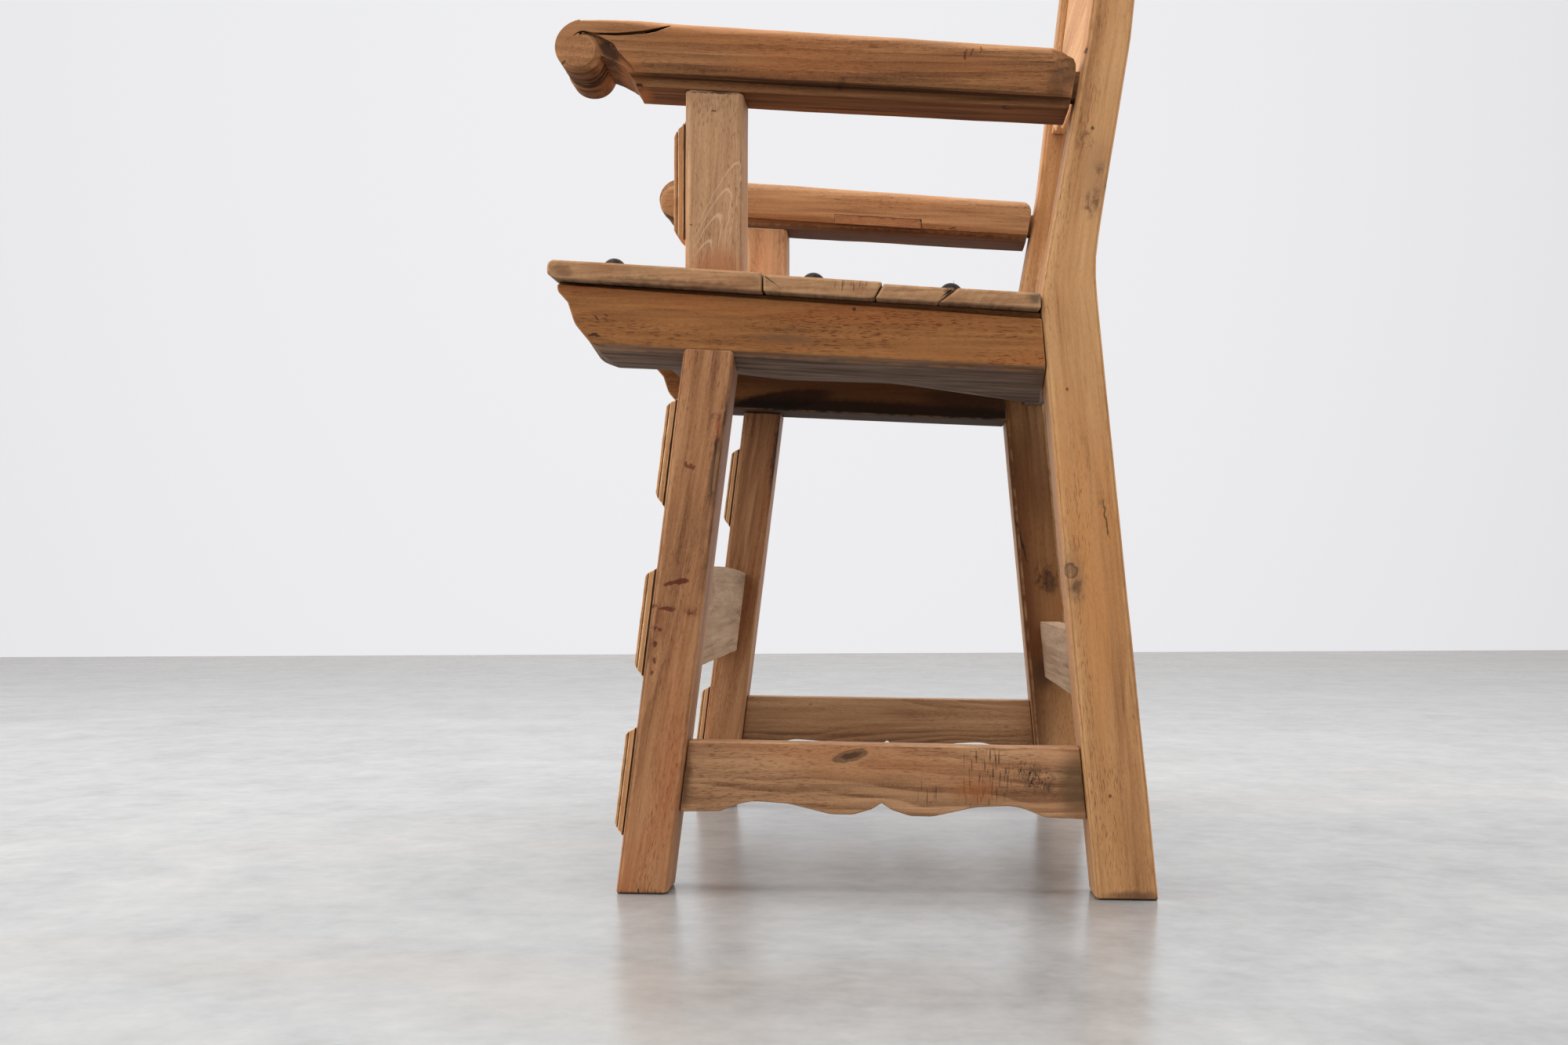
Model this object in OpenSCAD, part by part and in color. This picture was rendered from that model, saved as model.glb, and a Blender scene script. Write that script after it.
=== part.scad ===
// Rustic wooden armchair: leaning front legs, bent back posts, scrolled
// armrests, a nailed board seat and scalloped side stretchers.
// Units are millimetres. +Z is up, the chair faces -Y, +X is the sitter's left.
// The origin is on the floor, under the middle of the chair's box.

/* [Frame] */
// Width over the outer faces of the legs
leg_span = 550; // [500:5:620]
// Distance from the front of a front foot to the back of a rear foot
foot_span = 413; // [395:1:450]
// Height of the back posts
chair_h = 1012; // [960:1:1080]
// Width of legs, posts and arm posts, measured across the chair
leg_w = 48; // [42:0.5:56]
// Softened edge along legs and posts
leg_edge = 2; // [1:0.1:4]

/* [Front legs] */
// Depth of a front leg, front to back
leg_d = 40; // [36:0.1:48]
// Backward lean of the front legs in degrees
leg_lean = 7; // [4:0.1:8]

/* [Back posts] */
// Depth of a post at its foot
post_foot_d = 47; // [42:0.1:52]
// Depth of a post just below its bend
post_low_d = 44; // [40:0.1:50]
// Depth of a post just above its bend
post_up_d = 37.5; // [32:0.1:42]
// Depth of a post at its tip
post_top_d = 27; // [24:0.1:34]
// Forward lean of a post below its bend in degrees
post_lean_low = 5.4; // [4:0.1:7]
// Backward lean of a post above its bend in degrees
post_lean_up = 10.7; // [7:0.1:13]
// Backward lean of the upper end of a post in degrees
post_lean_top = 6.3; // [4:0.1:10]
// Height of the bend at the seat
knee_h = 458; // [440:1:475]
// Softness of the bend at the seat
knee_soft = 3.5; // [2:0.5:8]
// Height of the slight bend above the arms
bend_h = 760; // [720:1:800]
// Softness of the slight bend above the arms
bend_soft = 4; // [2:0.5:8]
// How much further back the right post stands just above the seat
right_post_back = 4; // [0:0.5:6]
// Rounding of the post tips
tip_soft = 7; // [3:0.5:10]

/* [Seat] */
// Height of the underside of the seat boards above the front feet
seat_h = 471.5; // [455:0.5:490]
// Fall of the seat towards the back in degrees
seat_rake = 4.25; // [3:0.05:5]
// How far the seat's nose stands out before the front feet
nose_out = 54; // [51:0.5:64]
// How far the boards stand out beyond the legs at each side
seat_overhang = 11; // [6:0.5:16]
// Thickness of the front seat board
board_t = 15; // [13:0.5:18]
// Thickness of the rear seat boards
rear_board_t = 12; // [10:0.5:14]
// Gap between neighbouring seat boards
board_gap = 0.6; // [0.4:0.1:1.2]
// Diameter of a domed nail head
nail_d = 19; // [15:0.5:22]
// Height of a domed nail head
nail_h = 8; // [6:0.5:11]
// Distance of the nails from the ends of the boards
nail_inset = 26; // [23:0.5:30]

/* [Seat rails] */
// Width of a side rail across the chair
rail_w = 76; // [66:0.5:84]
// Height of a side rail's outer face above the front leg
rail_h = 45.5; // [42:0.5:50]
// Fall of a side rail's lower edge towards the back in degrees
rail_low_rake = 3.5; // [2.5:0.1:4]
// Slope of the left rail's underside across the chair in degrees
soffit_slope = 13; // [8:0.5:16]
// How much further back the right rail starts than the left one
right_rail_short = 8; // [0:0.5:12]
// How much higher the right rail's lower edge ends at the back
right_rail_rise = 4.5; // [0:0.5:8]
// Depth of the rebate under the boards at the front of a side rail
rebate_front = 2.4; // [1.5:0.1:4]
// Depth of the rebate under the boards at the back of a side rail
rebate_back = 5.6; // [4:0.1:7]
// Width of the rebate under the boards
rebate_w = 8; // [5:0.5:12]
// Thickness of the front and rear seat rails
cross_rail_t = 22; // [18:0.5:26]
// Height of the front seat rail
front_rail_h = 34; // [28:0.5:40]
// Height of the rear seat rail
rear_rail_h = 19; // [16:0.5:24]

/* [Arms] */
// Height of the top of the left armrest above the front feet
arm_h = 680.4; // [660:0.1:700]
// How much lower the right armrest lies than the left one
right_arm_drop = 5; // [0:0.5:8]
// How much further back the right armrest starts than the left one
right_arm_short = 9.5; // [0:0.5:12]
// How much thinner the right armrest is than the left one
right_arm_thin = 2.5; // [0:0.5:5]
// Fall of the top of an armrest towards the back in degrees
arm_rake = 5; // [4:0.1:6]
// Width of an armrest
arm_w = 72; // [64:0.5:80]
// Thickness of an armrest above the front of its post
arm_t = 51.5; // [47:0.5:56]
// Fall of an armrest's underside towards the back in degrees
arm_low_rake = 4.1; // [3.5:0.1:5]
// Height of the plain band below the rounded part of an armrest
arm_band = 8.5; // [6:0.5:12]
// Rise of the crown across the top of an armrest
arm_crown = 2; // [1:0.5:5]
// Rounding of the upper edges of an armrest
arm_round = 11; // [6:0.5:14]
// Radius of the scroll's roll
scroll_r = 17; // [14:0.5:19]
// Thickness of the strip that wraps over the roll
scroll_strip = 7.5; // [5:0.5:9]
// How far the centre of the scroll stands before the front feet
scroll_out = 29; // [25:0.5:33]
// Depth of an arm post, front to back
arm_post_d = 45.5; // [41:0.5:50]
// Distance of an arm post behind the front of the front feet
arm_post_y = 52.5; // [48:0.5:58]

/* [Stretchers] */
// Height of the top of the side stretchers at the front
side_stretch_top = 116.5; // [100:0.5:140]
// Height of a side stretcher's board
side_stretch_h = 54.5; // [48:0.5:64]
// Thickness of a side stretcher
side_stretch_t = 20; // [18:0.5:26]
// Distance of a side stretcher behind the outer face of the legs
side_stretch_in = 11.5; // [9:0.5:13]
// Fall of a side stretcher from front to back
side_stretch_fall = 4.4; // [0:0.2:6]
// Height of the scallops along a side stretcher
scallop_h = 10; // [6:0.5:14]
// Height of the lower edge of the front stretcher
front_stretch_low = 166; // [150:1:180]
// Height of the front stretcher's board at its ends
front_stretch_h = 83; // [70:1:90]
// Thickness of the front stretcher
front_stretch_t = 22; // [18:0.5:24]
// Height of the lower edge of the rear stretcher
rear_stretch_low = 139; // [130:1:160]
// Height of the rear stretcher's board
rear_stretch_h = 59; // [50:1:70]
// Thickness of the rear stretcher
rear_stretch_t = 21; // [17:0.5:23]

/* [Back] */
// Thickness of the back boards
back_t = 14; // [12:0.5:16]
// Distance of the back boards' ends behind the front of the posts
back_in = 9; // [7:0.5:11]
// Height of the lower back board at the posts
back_low = 716; // [690:1:730]
// Depth of the shaped drop in the middle of the lower back board
back_drop = 40; // [34:1:60]
// Height of the crest board at the posts
crest_h = 83; // [70:1:100]
// Distance of the crest board's ends below the tips of the posts
crest_drop = 44; // [30:1:70]
// Rise of the crest board in the middle
crest_rise = 52; // [30:1:60]

/* [Mouldings] */
// Length of the stepped blocks on the front legs
block_len = 88; // [78:0.5:96]
// Height of the lower end of the lowest block
block_low = 41.5; // [36:0.5:50]
// Place of the middle block between the lowest and the highest one
block_share = 0.482; // [0.45:0.002:0.52]
// Distance of the highest block from the side rail
block_gap = 41; // [30:0.5:55]
// How far a block stands out from a leg
block_out = 8.2; // [6:0.2:10]
// Distance of a block from the sides of its leg
block_side = 3; // [2:0.5:6]
// Distance of an arm post's block from the arm and from the seat
post_block_gap = 22.5; // [15:0.5:30]
// How far the block stands out from an arm post
post_block_out = 9; // [6:0.2:11]

/* [Joints] */
// Length of the tenons
tenon = 17; // [14:0.5:19]
// Thickness of the tenons
tenon_t = 14; // [11:0.5:16]
// Clearance round every tenon and nail
fit = 0.15; // [0.1:0.01:0.3]
// Gap between the rear end of an armrest and its post
arm_gap = 3.5; // [0.6:0.1:5]

/* [Hidden] */

leg_color = "#a9713f";
arm_color = "#a26b3b";
rail_color = "#9a6336";
board_color = "#a07447";
cross_color = "#b8a184";
block_color = "#b67f4c";
iron_color = "#4a4642";

// Across the chair: outer and inner faces of legs and posts, and their middle
x_out = leg_span / 2;
x_in = x_out - leg_w;
x_mid = x_out - leg_w / 2;
// Slopes as rise per length
lean = tan(leg_lean);
low_lean = tan(post_lean_low);
up_lean = tan(post_lean_up);
top_lean = tan(post_lean_top);
rake = tan(seat_rake);
rail_rake = tan(rail_low_rake);
arm_fall = tan(arm_rake);
arm_low_fall = tan(arm_low_rake);
// How far the crown of an armrest sinks towards its scroll
front_drop = 5.5;
// Points on each rounded corner, and facets of turned parts
corner_steps = 5;
turned_facets = 48;
cut = 1;

// True on the right side of the chair, which differs a little from the left
$right = false;

// Lengths along the chair are measured from the front of the front feet
crest_end = chair_h - crest_drop;
back_joint = crest_end - crest_h;
knee_y = foot_span - post_low_d - knee_h * low_lean;
bend_y = knee_y + (bend_h - knee_h) * up_lean;

function smooth_max(a, b, soft) = (a + b + sqrt((a - b) * (a - b) + soft * soft)) / 2;
function smooth_min(a, b, soft) = -smooth_max(-a, -b, soft);
function leg_front(z) = z * lean;
function leg_back(z) = z * lean + leg_d;
function post_up_front(z) = smooth_min(
  knee_y + (z - knee_h) * up_lean + ($right ? right_post_back : 0),
  bend_y + (z - bend_h) * top_lean, bend_soft);
function post_up_depth(z) =
  post_up_d + (post_top_d - post_up_d) * (z - knee_h) / (chair_h - knee_h);
function post_low_depth(z) = post_foot_d + (post_low_d - post_foot_d) * z / knee_h;
function post_front(z) = smooth_max(
  foot_span - z * low_lean - post_low_depth(z), post_up_front(z), knee_soft);
function post_back(z) =
  smooth_max(foot_span - z * low_lean, post_up_front(z) + post_up_depth(z), knee_soft);
// Height of the underside and of the top of the seat boards
function seat_under(y) = seat_h - y * rake;
function seat_top(y, t) = seat_under(y) + t / cos(seat_rake);
function rail_fall() = rail_rake - ($right ? right_rail_rise / foot_span : 0);
function rail_low(y) = seat_under(leg_d) - rail_h - (y - leg_d) * rail_fall();
function arm_top(y) = arm_h - ($right ? right_arm_drop : 0) - y * arm_fall;
function arm_under(y) =
  arm_top(arm_post_y) - arm_t + ($right ? right_arm_thin : 0) - (y - arm_post_y) * arm_low_fall;
// The band narrows towards the back of the arm
function arm_quirk(y) = arm_under(y) + arm_band * (1 - 0.35 * y / foot_span);
// Centre of the scroll
function scroll_y() = ($right ? right_arm_short : 0) - scroll_out;
function scroll_z() = arm_top(scroll_y()) - front_drop - scroll_strip - scroll_r;

// The back-most and front-most points of the chair set its middle
back_most = post_back(chair_h - tip_soft);
front_most = min(-nose_out, -scroll_out - scroll_r - scroll_strip);
y_shift = -(back_most + front_most) / 2;

function flat_point(p) = [p[0], p[1]];
function unit(v) = v / norm(v);
// An arc of radius r that rounds the corner q between p and s
function round_corner(p, q, s, r) =
  let (u = unit(p - q), v = unit(s - q), angle = acos(max(-1, min(1, u * v))))
  (r <= 0 || angle > 179.9) ? [q] :
  let (
    reach = min(r / tan(angle / 2), 0.49 * norm(p - q), 0.49 * norm(s - q)),
    radius = reach * tan(angle / 2),
    centre = q + unit(u + v) * radius / sin(angle / 2),
    from = q + u * reach - centre,
    to = q + v * reach - centre,
    sweep = 180 - angle)
  [for (i = [0:corner_steps]) let (t = i / corner_steps)
    centre + (from * sin((1 - t) * sweep) + to * sin(t * sweep)) / sin(sweep)];
// A closed outline from corners written as [across, up, radius]
function outline(corners) =
  let (n = len(corners))
  [for (i = [0:n - 1]) each round_corner(
    flat_point(corners[(i + n - 1) % n]), flat_point(corners[i]),
    flat_point(corners[(i + 1) % n]), corners[i][2])];

// Rectangle with cut corners, counter-clockwise
function soft_rectangle(x0, x1, y0, y1, c) = [
  [x0 + c, y0], [x1 - c, y0], [x1, y0 + c], [x1, y1 - c],
  [x1 - c, y1], [x0 + c, y1], [x0, y1 - c], [x0, y0 + c]];
function at_height(points, z) = [for (p = points) [p[0], p[1], z]];

// Joins sections of equal point count, from the lowest to the highest
module loft(sections) {
  n = len(sections[0]);
  last = len(sections) - 1;
  sides = [for (i = [0:last - 1], j = [0:n - 1]) let (k = (j + 1) % n)
    each [
      [i * n + j, (i + 1) * n + k, i * n + k],
      [i * n + j, (i + 1) * n + j, (i + 1) * n + k]]];
  first_cap = [for (j = [0:n - 1]) j];
  last_cap = [for (j = [n - 1:-1:0]) last * n + j];
  polyhedron([for (s = sections) each s], concat(sides, [first_cap, last_cap]), convexity = 8);
}

// Extrudes an outline of [y, z] points across the chair, from x0 to x1
module across(x0, x1, points) {
  translate([x0, 0, 0])
    rotate([90, 0, 90])
      linear_extrude(height = x1 - x0) polygon(points);
}

// Moves a part from the front feet's line to the middle of the chair
module in_place() {
  translate([0, y_shift, 0]) children();
}

// Draws a left part as it is, and a right part mirrored
module on_side(right) {
  $right = right;
  in_place() mirror([right ? 1 : 0, 0, 0]) children();
}

// Box between two corners
module box(low, high) {
  translate(low) cube(high - low);
}

// Front leg: a straight leaning bar, cut to the underside of the side rail
module leg_tenon(grow) {
  inset = (leg_w - tenon_t) / 2 - grow;
  top = rail_low(leg_d) + tenon + grow;
  low = rail_low(leg_d) - rail_h / 2;
  edge = leg_d / 5 - grow;
  loft([for (z = [low, top]) at_height(
    soft_rectangle(x_in + inset, x_out - inset, leg_front(z) + edge, leg_back(z) - edge, 0.5), z)]);
}

module front_leg() {
  top = rail_low(leg_d) + tenon / 2;
  difference() {
    loft([for (level = [[0, 1], [leg_edge, 0], [top, 0]])
      let (z = level[0], inset = level[1] * leg_edge / 4)
      at_height(soft_rectangle(x_in + inset, x_out - inset,
        leg_front(z) + inset, leg_back(z) - inset, leg_edge), z)]);
    side_rail_blank();
    side_stretcher_tenon(false, fit);
    front_stretcher_tenon(fit);
  }
  leg_tenon(0);
}

// Back post: leg and back support in one bent bar
module back_post() {
  lower = [0, leg_edge];
  steps = 26;
  first = knee_h - 200;
  bend = [for (i = [0:steps]) first + i * 400 / steps];
  heights = concat(lower, bend, [chair_h - tip_soft, chair_h - tip_soft / 3, chair_h]);
  difference() {
    loft([for (z = heights)
      let (
        tip = max(0, z - (chair_h - tip_soft)),
        inset = tip > 0 ? tip_soft * (1 - sqrt(max(0, 1 - pow(tip / tip_soft, 2)))) * 0.8
          : (z == 0 ? leg_edge / 2 : 0))
      at_height(soft_rectangle(x_in + inset, x_out - inset,
        post_front(z) + inset, post_back(z) - inset, leg_edge), z)]);
    rail_tenon(fit);
    side_stretcher_tenon(true, fit);
    armrest_tenon(fit);
    rear_stretcher_tenon(fit);
    rear_rail_tenon(fit);
    back_board_tenon(back_low + 10, back_joint - 8, fit);
    back_board_tenon(back_joint + 8, crest_end - 8, fit);
  }
}

// Side seat rail: a wide plank on edge with an ogee at its front end. The
// left one dips and flares along its inner lower edge, the right one is plain.
rail_dip = 8;
rail_flare = 22;
rail_full = 5;
rail_tenon_h = 24;
rail_back = post_front(rail_low(knee_y) - rail_flare);
function rail_front() = ($right ? right_rail_short : 0) + 5 - nose_out;

// A point of the lower edge at y, lowered by drop on the left rail
function rail_low_point(y, drop, r) = [y, rail_low(y) - ($right ? 0 : drop), r];

// Side view of a rail: the ogee of the left one is fuller towards the inside,
// where it lies further out by full
function rail_outline(full) =
  let (front = rail_front(), top = seat_under(front), low = rail_low(0))
  outline([
    [rail_back, seat_under(rail_back), 0],
    [front + 1, top, 0],
    [front + 1.5, top - 8, 6],
    [front + 9.5, top - 17, 5],
    [front + 15, top - 34, 20],
    [front + 27 - full, low + 1.5 - full, 16],
    rail_low_point(front + 38, 10, 10),
    rail_low_point(leg_d + 30, 9, 120),
    rail_low_point(foot_span * 0.31, rail_dip + 5, 160),
    rail_low_point(foot_span * 0.52, rail_dip + 3, 300),
    rail_low_point(rail_back, rail_flare, 0)]);

module side_rail_blank() {
  difference() {
    loft([for (inside = [true, false])
      [for (p = rail_outline(inside && !$right ? rail_full : 0))
        [x_out - (inside ? rail_w : 0), p[0], p[1]]]]);
    rail_underside_cut();
    rail_rebate_cut();
  }
}

// Slopes the underside down towards the inside, with a cut lower edge
module rail_underside_cut() {
  edge = 4.5;
  reach = rail_w + cut;
  drop = edge + (reach - edge) * ($right ? 0 : tan(soffit_slope));
  translate([x_out, 0, rail_low(0)])
    rotate([-atan(rail_fall()), 0, 0])
      translate([0, 2 * foot_span, 0])
        rotate([90, 0, 0])
          linear_extrude(height = 3 * foot_span)
            polygon([[cut, cut], [-edge, -edge], [-reach, -drop], [-reach, -150], [cut, -150]]);
}

// The boards stand clear of the rail along its outer edge
module rail_rebate_cut() {
  back = rail_back + cut;
  front = rail_front() - cut;
  across(x_out - rebate_w, x_out + cut, [
    [front, seat_under(front) - rebate_front], [back, seat_under(back) - rebate_back],
    [back, seat_under(back) + cut], [front, seat_under(front) + cut]]);
}

// Tenon of the side rail in the front of the back post
module rail_tenon(grow) {
  low = (rail_low(knee_y) + seat_under(knee_y) - rail_tenon_h) / 2 - grow;
  box([x_mid - tenon_t / 2 - grow, knee_y - 10, low],
      [x_mid + tenon_t / 2 + grow, post_front(knee_h) + tenon + 5 + grow,
       low + rail_tenon_h + 2 * grow]);
}

module seat_rail() {
  difference() {
    union() {
      difference() {
        side_rail_blank();
        post_shadow();
      }
      rail_tenon(0);
    }
    leg_tenon(fit);
    arm_post_tenon_low(fit);
    front_rail_tenon(fit);
    seat_nail_shanks(fit);
  }
}

// Keeps the rail's rear end on the front face of the post
module post_shadow() {
  heights = [for (i = [0:12]) knee_h - 90 + i * 12];
  loft([for (z = heights) at_height(
    [[x_out - rail_w - cut, post_front(z)], [x_out + cut, post_front(z)],
     [x_out + cut, foot_span], [x_out - rail_w - cut, foot_span]], z)]);
}

// Front seat rail: a plain board between the side rails
front_rail_y = 6;
module front_rail_tenon(grow) {
  inner = x_out - rail_w;
  middle = seat_under(front_rail_y) - front_rail_h / 2;
  box([inner - cut, front_rail_y + (cross_rail_t - tenon_t) / 2 - grow, middle - 9 - grow],
      [inner + tenon + grow, front_rail_y + (cross_rail_t + tenon_t) / 2 + grow, middle + 9 + grow]);
}

module front_seat_rail() {
  inner = x_out - rail_w;
  back = front_rail_y + cross_rail_t;
  across(-inner, inner, outline([
    [front_rail_y, seat_under(front_rail_y), 0],
    [front_rail_y, seat_under(front_rail_y) - front_rail_h, 2],
    [back, seat_under(front_rail_y) - front_rail_h, 2],
    [back, seat_under(back), 0]]));
  for (side = [0, 1]) mirror([side, 0, 0]) front_rail_tenon(0);
}

// Rear seat rail: a plain bar between the back posts, flush with their backs
rear_rail_y = post_back(seat_under(foot_span)) - cross_rail_t - 1;
rear_rail_tenon_len = 10;
module rear_rail_tenon(grow) {
  middle = seat_under(rear_rail_y) - rear_rail_h / 2 - 1;
  half = rear_rail_h / 2 - 3 + grow;
  box([x_in - cut, rear_rail_y + (cross_rail_t - tenon_t) / 2 - grow, middle - half],
      [x_in + rear_rail_tenon_len + grow, rear_rail_y + (cross_rail_t + tenon_t) / 2 + grow,
       middle + half]);
}

module rear_seat_rail() {
  back = rear_rail_y + cross_rail_t;
  across(-x_in, x_in, outline([
    [rear_rail_y, seat_under(rear_rail_y), 0],
    [rear_rail_y, seat_under(rear_rail_y) - rear_rail_h, 2],
    [back, seat_under(rear_rail_y) - rear_rail_h, 2],
    [back, seat_under(back), 0]]));
  for (side = [0, 1]) mirror([side, 0, 0]) rear_rail_tenon(0);
}

// Seat boards run across the chair and lie on the rails. Each joint has a
// place along the chair and a slant, because two of them are not square.
joint_y = [114, 203.5, 256];
joint_slant = [0, 7, 15];
board_back = post_front(seat_under(knee_y)) - 1;
tongue_back = rear_rail_y + cross_rail_t;
board_count = len(joint_y) + 1;
board_thickness = [board_t, (board_t + rear_board_t) / 2, rear_board_t, rear_board_t];
board_x = x_out + seat_overhang;

function joint_at(i, top) = joint_y[i] + (top ? joint_slant[i] : -joint_slant[i]) / 2;

module board_blank(i) {
  t = board_thickness[i];
  half_gap = board_gap / 2;
  if (i == 0) {
    across(-board_x, board_x, outline([
      [joint_at(0, false) - half_gap, seat_under(joint_at(0, false)), 0],
      [joint_at(0, true) - half_gap, seat_top(joint_at(0, true), t), 1.5],
      [-nose_out, seat_top(-nose_out, t), board_t * 0.55],
      [-nose_out, seat_under(-nose_out) + board_t * 0.24, board_t * 0.2],
      [-nose_out + board_t * 0.42, seat_under(-nose_out + board_t * 0.42), 4]]));
  } else if (i < board_count - 1) {
    across(-board_x, board_x, outline([
      [joint_at(i, false) - half_gap, seat_under(joint_at(i, false)), 0],
      [joint_at(i, true) - half_gap, seat_top(joint_at(i, true), t), 1.5],
      [joint_at(i - 1, true) + half_gap, seat_top(joint_at(i - 1, true), t), 1.5],
      [joint_at(i - 1, false) + half_gap, seat_under(joint_at(i - 1, false)), 0]]));
  } else {
    across(-board_x, board_x, outline([
      [tongue_back, seat_under(tongue_back), 2],
      [tongue_back, seat_top(tongue_back, t), 3],
      [joint_at(i - 1, true) + half_gap, seat_top(joint_at(i - 1, true), t), 1.5],
      [joint_at(i - 1, false) + half_gap, seat_under(joint_at(i - 1, false)), 0]]));
  }
}

module seat_board(i) {
  in_place() difference() {
    board_blank(i);
    for (side = [0, 1]) mirror([side, 0, 0]) {
      if (i == 0) arm_post_tenon_low(fit);
      if (i == board_count - 1) {
        box([x_in - cut, board_back, seat_under(tongue_back) - 20],
            [board_x + cut, tongue_back + cut, seat_top(0, board_t)]);
      }
      seat_nail_shanks(fit);
    }
  }
}

// Domed nails, driven square to the seat
nail_y = [-5, 152, 259];
nail_board = [0, 1, 3];
shank_d = 4;
shank_len = 30;

module at_nail(i) {
  translate([board_x - nail_inset, nail_y[i], seat_top(nail_y[i], board_thickness[nail_board[i]])])
    rotate([-seat_rake, 0, 0]) children();
}

module seat_nail_shanks(grow) {
  for (i = [0:len(nail_y) - 1]) at_nail(i)
    translate([0, 0, -shank_len - grow])
      cylinder(d = shank_d + 2 * grow, h = shank_len + 2 * grow, $fn = 24);
}

module seat_nails() {
  dome_r = (nail_d * nail_d / 4 + nail_h * nail_h) / (2 * nail_h);
  for (i = [0:len(nail_y) - 1]) at_nail(i) {
    intersection() {
      translate([0, 0, nail_h - dome_r]) sphere(r = dome_r, $fn = turned_facets);
      cylinder(d = nail_d + cut, h = nail_h, $fn = turned_facets);
    }
    translate([0, 0, -shank_len])
      cylinder(d = shank_d, h = shank_len + cut, $fn = 24);
  }
}

// Arm post: stands on the seat, with a tenon through the board and one in the arm
arm_post_back = arm_post_y + arm_post_d;
arm_post_soft = 3.5;
module arm_post_tenon_low(grow) {
  middle = arm_post_y + arm_post_d / 2;
  box([x_mid - tenon_t / 2 - grow, middle - 12 - grow, seat_under(middle) - tenon - grow],
      [x_mid + tenon_t / 2 + grow, middle + 12 + grow, seat_top(middle, board_t) + 5]);
}

module arm_post_tenon_high(grow) {
  middle = arm_post_y + arm_post_d / 2;
  box([x_mid - tenon_t / 2 - grow, middle - 12 - grow, arm_under(middle) - 5],
      [x_mid + tenon_t / 2 + grow, middle + 12 + grow, arm_under(middle) + tenon + grow]);
}

module arm_post() {
  plan = soft_rectangle(x_in, x_out, arm_post_y, arm_post_back, arm_post_soft);
  loft([
    [for (p = plan) [p[0], p[1], seat_top(p[1], board_t)]],
    [for (p = plan) [p[0], p[1], arm_under(p[1])]]]);
  arm_post_tenon_low(0);
  arm_post_tenon_high(0);
}

// Armrest: a rounded rail over a plain band, with a scroll at its front
arm_x0 = x_mid - arm_w / 2;
arm_x1 = x_mid + arm_w / 2;
// Where the scroll's strip parts from the crown, behind the scroll's centre
strip_tail = 71;
// Where the underside of the arm ends, behind the scroll's centre
throat_back = 43;
function throat_y() = scroll_y() + throat_back;
// How deep the side of the neck behind the roll is cut back, and how much
// higher the neck's lower surface lies at its outer side than in the middle
cheek_depth = 5;
throat_tilt = 2.2;

// One section of the arm at y, seen from the back, with x to the left
function arm_section(y) =
  let (
    front = max(0, min(1, 1 - (y - scroll_y()) / strip_tail)),
    top = arm_top(y) - front_drop * front * front,
    edge = top - arm_crown * (1 - 0.9 * front),
    round = arm_round * (1 - 0.85 * front),
    quirk = arm_quirk(y),
    low = arm_under(y))
  outline([
    [x_in, low, 1], [x_out, low, 1],
    [x_out, quirk + 2, 0.8], [arm_x1 - 3, quirk, 0.8],
    [arm_x1, quirk + 5, 4], [arm_x1, edge, round],
    [x_mid, top, 60],
    [arm_x0, edge, round], [arm_x0, quirk + 5, 4],
    [arm_x0 + 3, quirk, 0.8], [x_in, quirk + 2, 0.8]]);

module armrest_tenon(grow) {
  middle = (arm_top(foot_span * 0.86) + arm_under(foot_span * 0.86)) / 2;
  front = post_front(middle);
  box([x_mid - tenon_t / 2 - grow, front - 25, middle - 11 - grow],
      [x_mid + tenon_t / 2 + grow, front + tenon - 2 + grow, middle + 11 + grow]);
}

// Everything in front of the arm's body, below its throat
module arm_throat_cut() {
  y = scroll_y();
  z = scroll_z();
  throat = throat_y();
  low = arm_under(throat);
  points = outline([
    [throat, low - 20, 0], [throat, low, 0], [throat - 2.2, low + 4.5, 3],
    [y + 36, z - 14, 12], [y + 24, z - 7.5, 30], [y + 12, z - 3, 0],
    [y - 40, z - 3, 0], [y - 40, low - 20, 0]]);
  loft([for (side = [-1, 1])
    [for (p = points) [side < 0 ? arm_x0 - cut : arm_x1 + cut, p[0], p[1] + side * throat_tilt]]]);
}

// The side of the arm is cut back behind the roll along an S-shaped edge
module arm_cheek_cut() {
  y = scroll_y();
  z = scroll_z();
  back = throat_y() + 1.6;
  shape = outline([
    [y + 10, z + 13.5, 0], [y + 17, z + 10.8, 12], [y + 27.5, z + 5, 7],
    [y + 31.5, z - 2, 8], [y + 36, z - 6.5, 9], [back - 3, arm_quirk(back) + 5, 4],
    [back, arm_quirk(back) - 0.5, 0], [back, arm_under(back) - 20, 0],
    [y - 40, arm_under(back) - 20, 0], [y - 40, z + 13.5, 0]]);
  across(arm_x1 - cheek_depth, arm_x1 + cut, shape);
  across(arm_x0 - cut, arm_x0 + cheek_depth, shape);
}

// Groove that curls over the roll and parts the strip from the side of the
// arm: lengths behind and above the scroll's centre, and the groove's width
volute = [
  [-3.8, 11.5, 0.6], [-1.6, 13.3, 0.9], [1.2, 14.1, 1.3], [4.1, 14.1, 1.5], [7.2, 13.1, 1.8],
  [10.3, 11.9, 2.2], [20.4, 11.7, 1.7], [29.2, 10.9, 2.3], [39.2, 11.1, 2.5], [51.7, 11.8, 2.7],
  [61, 13.4, 2.7], [67, 16, 1.8], [strip_tail, 18.3, 0.7]];
volute_depth = 4;
// The tail of the groove runs out over the rounded edge
volute_tail = 9;
volute_tail_depth = 8;

module arm_volute_groove() {
  last = len(volute) - 1;
  volute_band(0, volute_tail, volute_depth);
  volute_band(volute_tail, last, volute_tail_depth);
}

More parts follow.
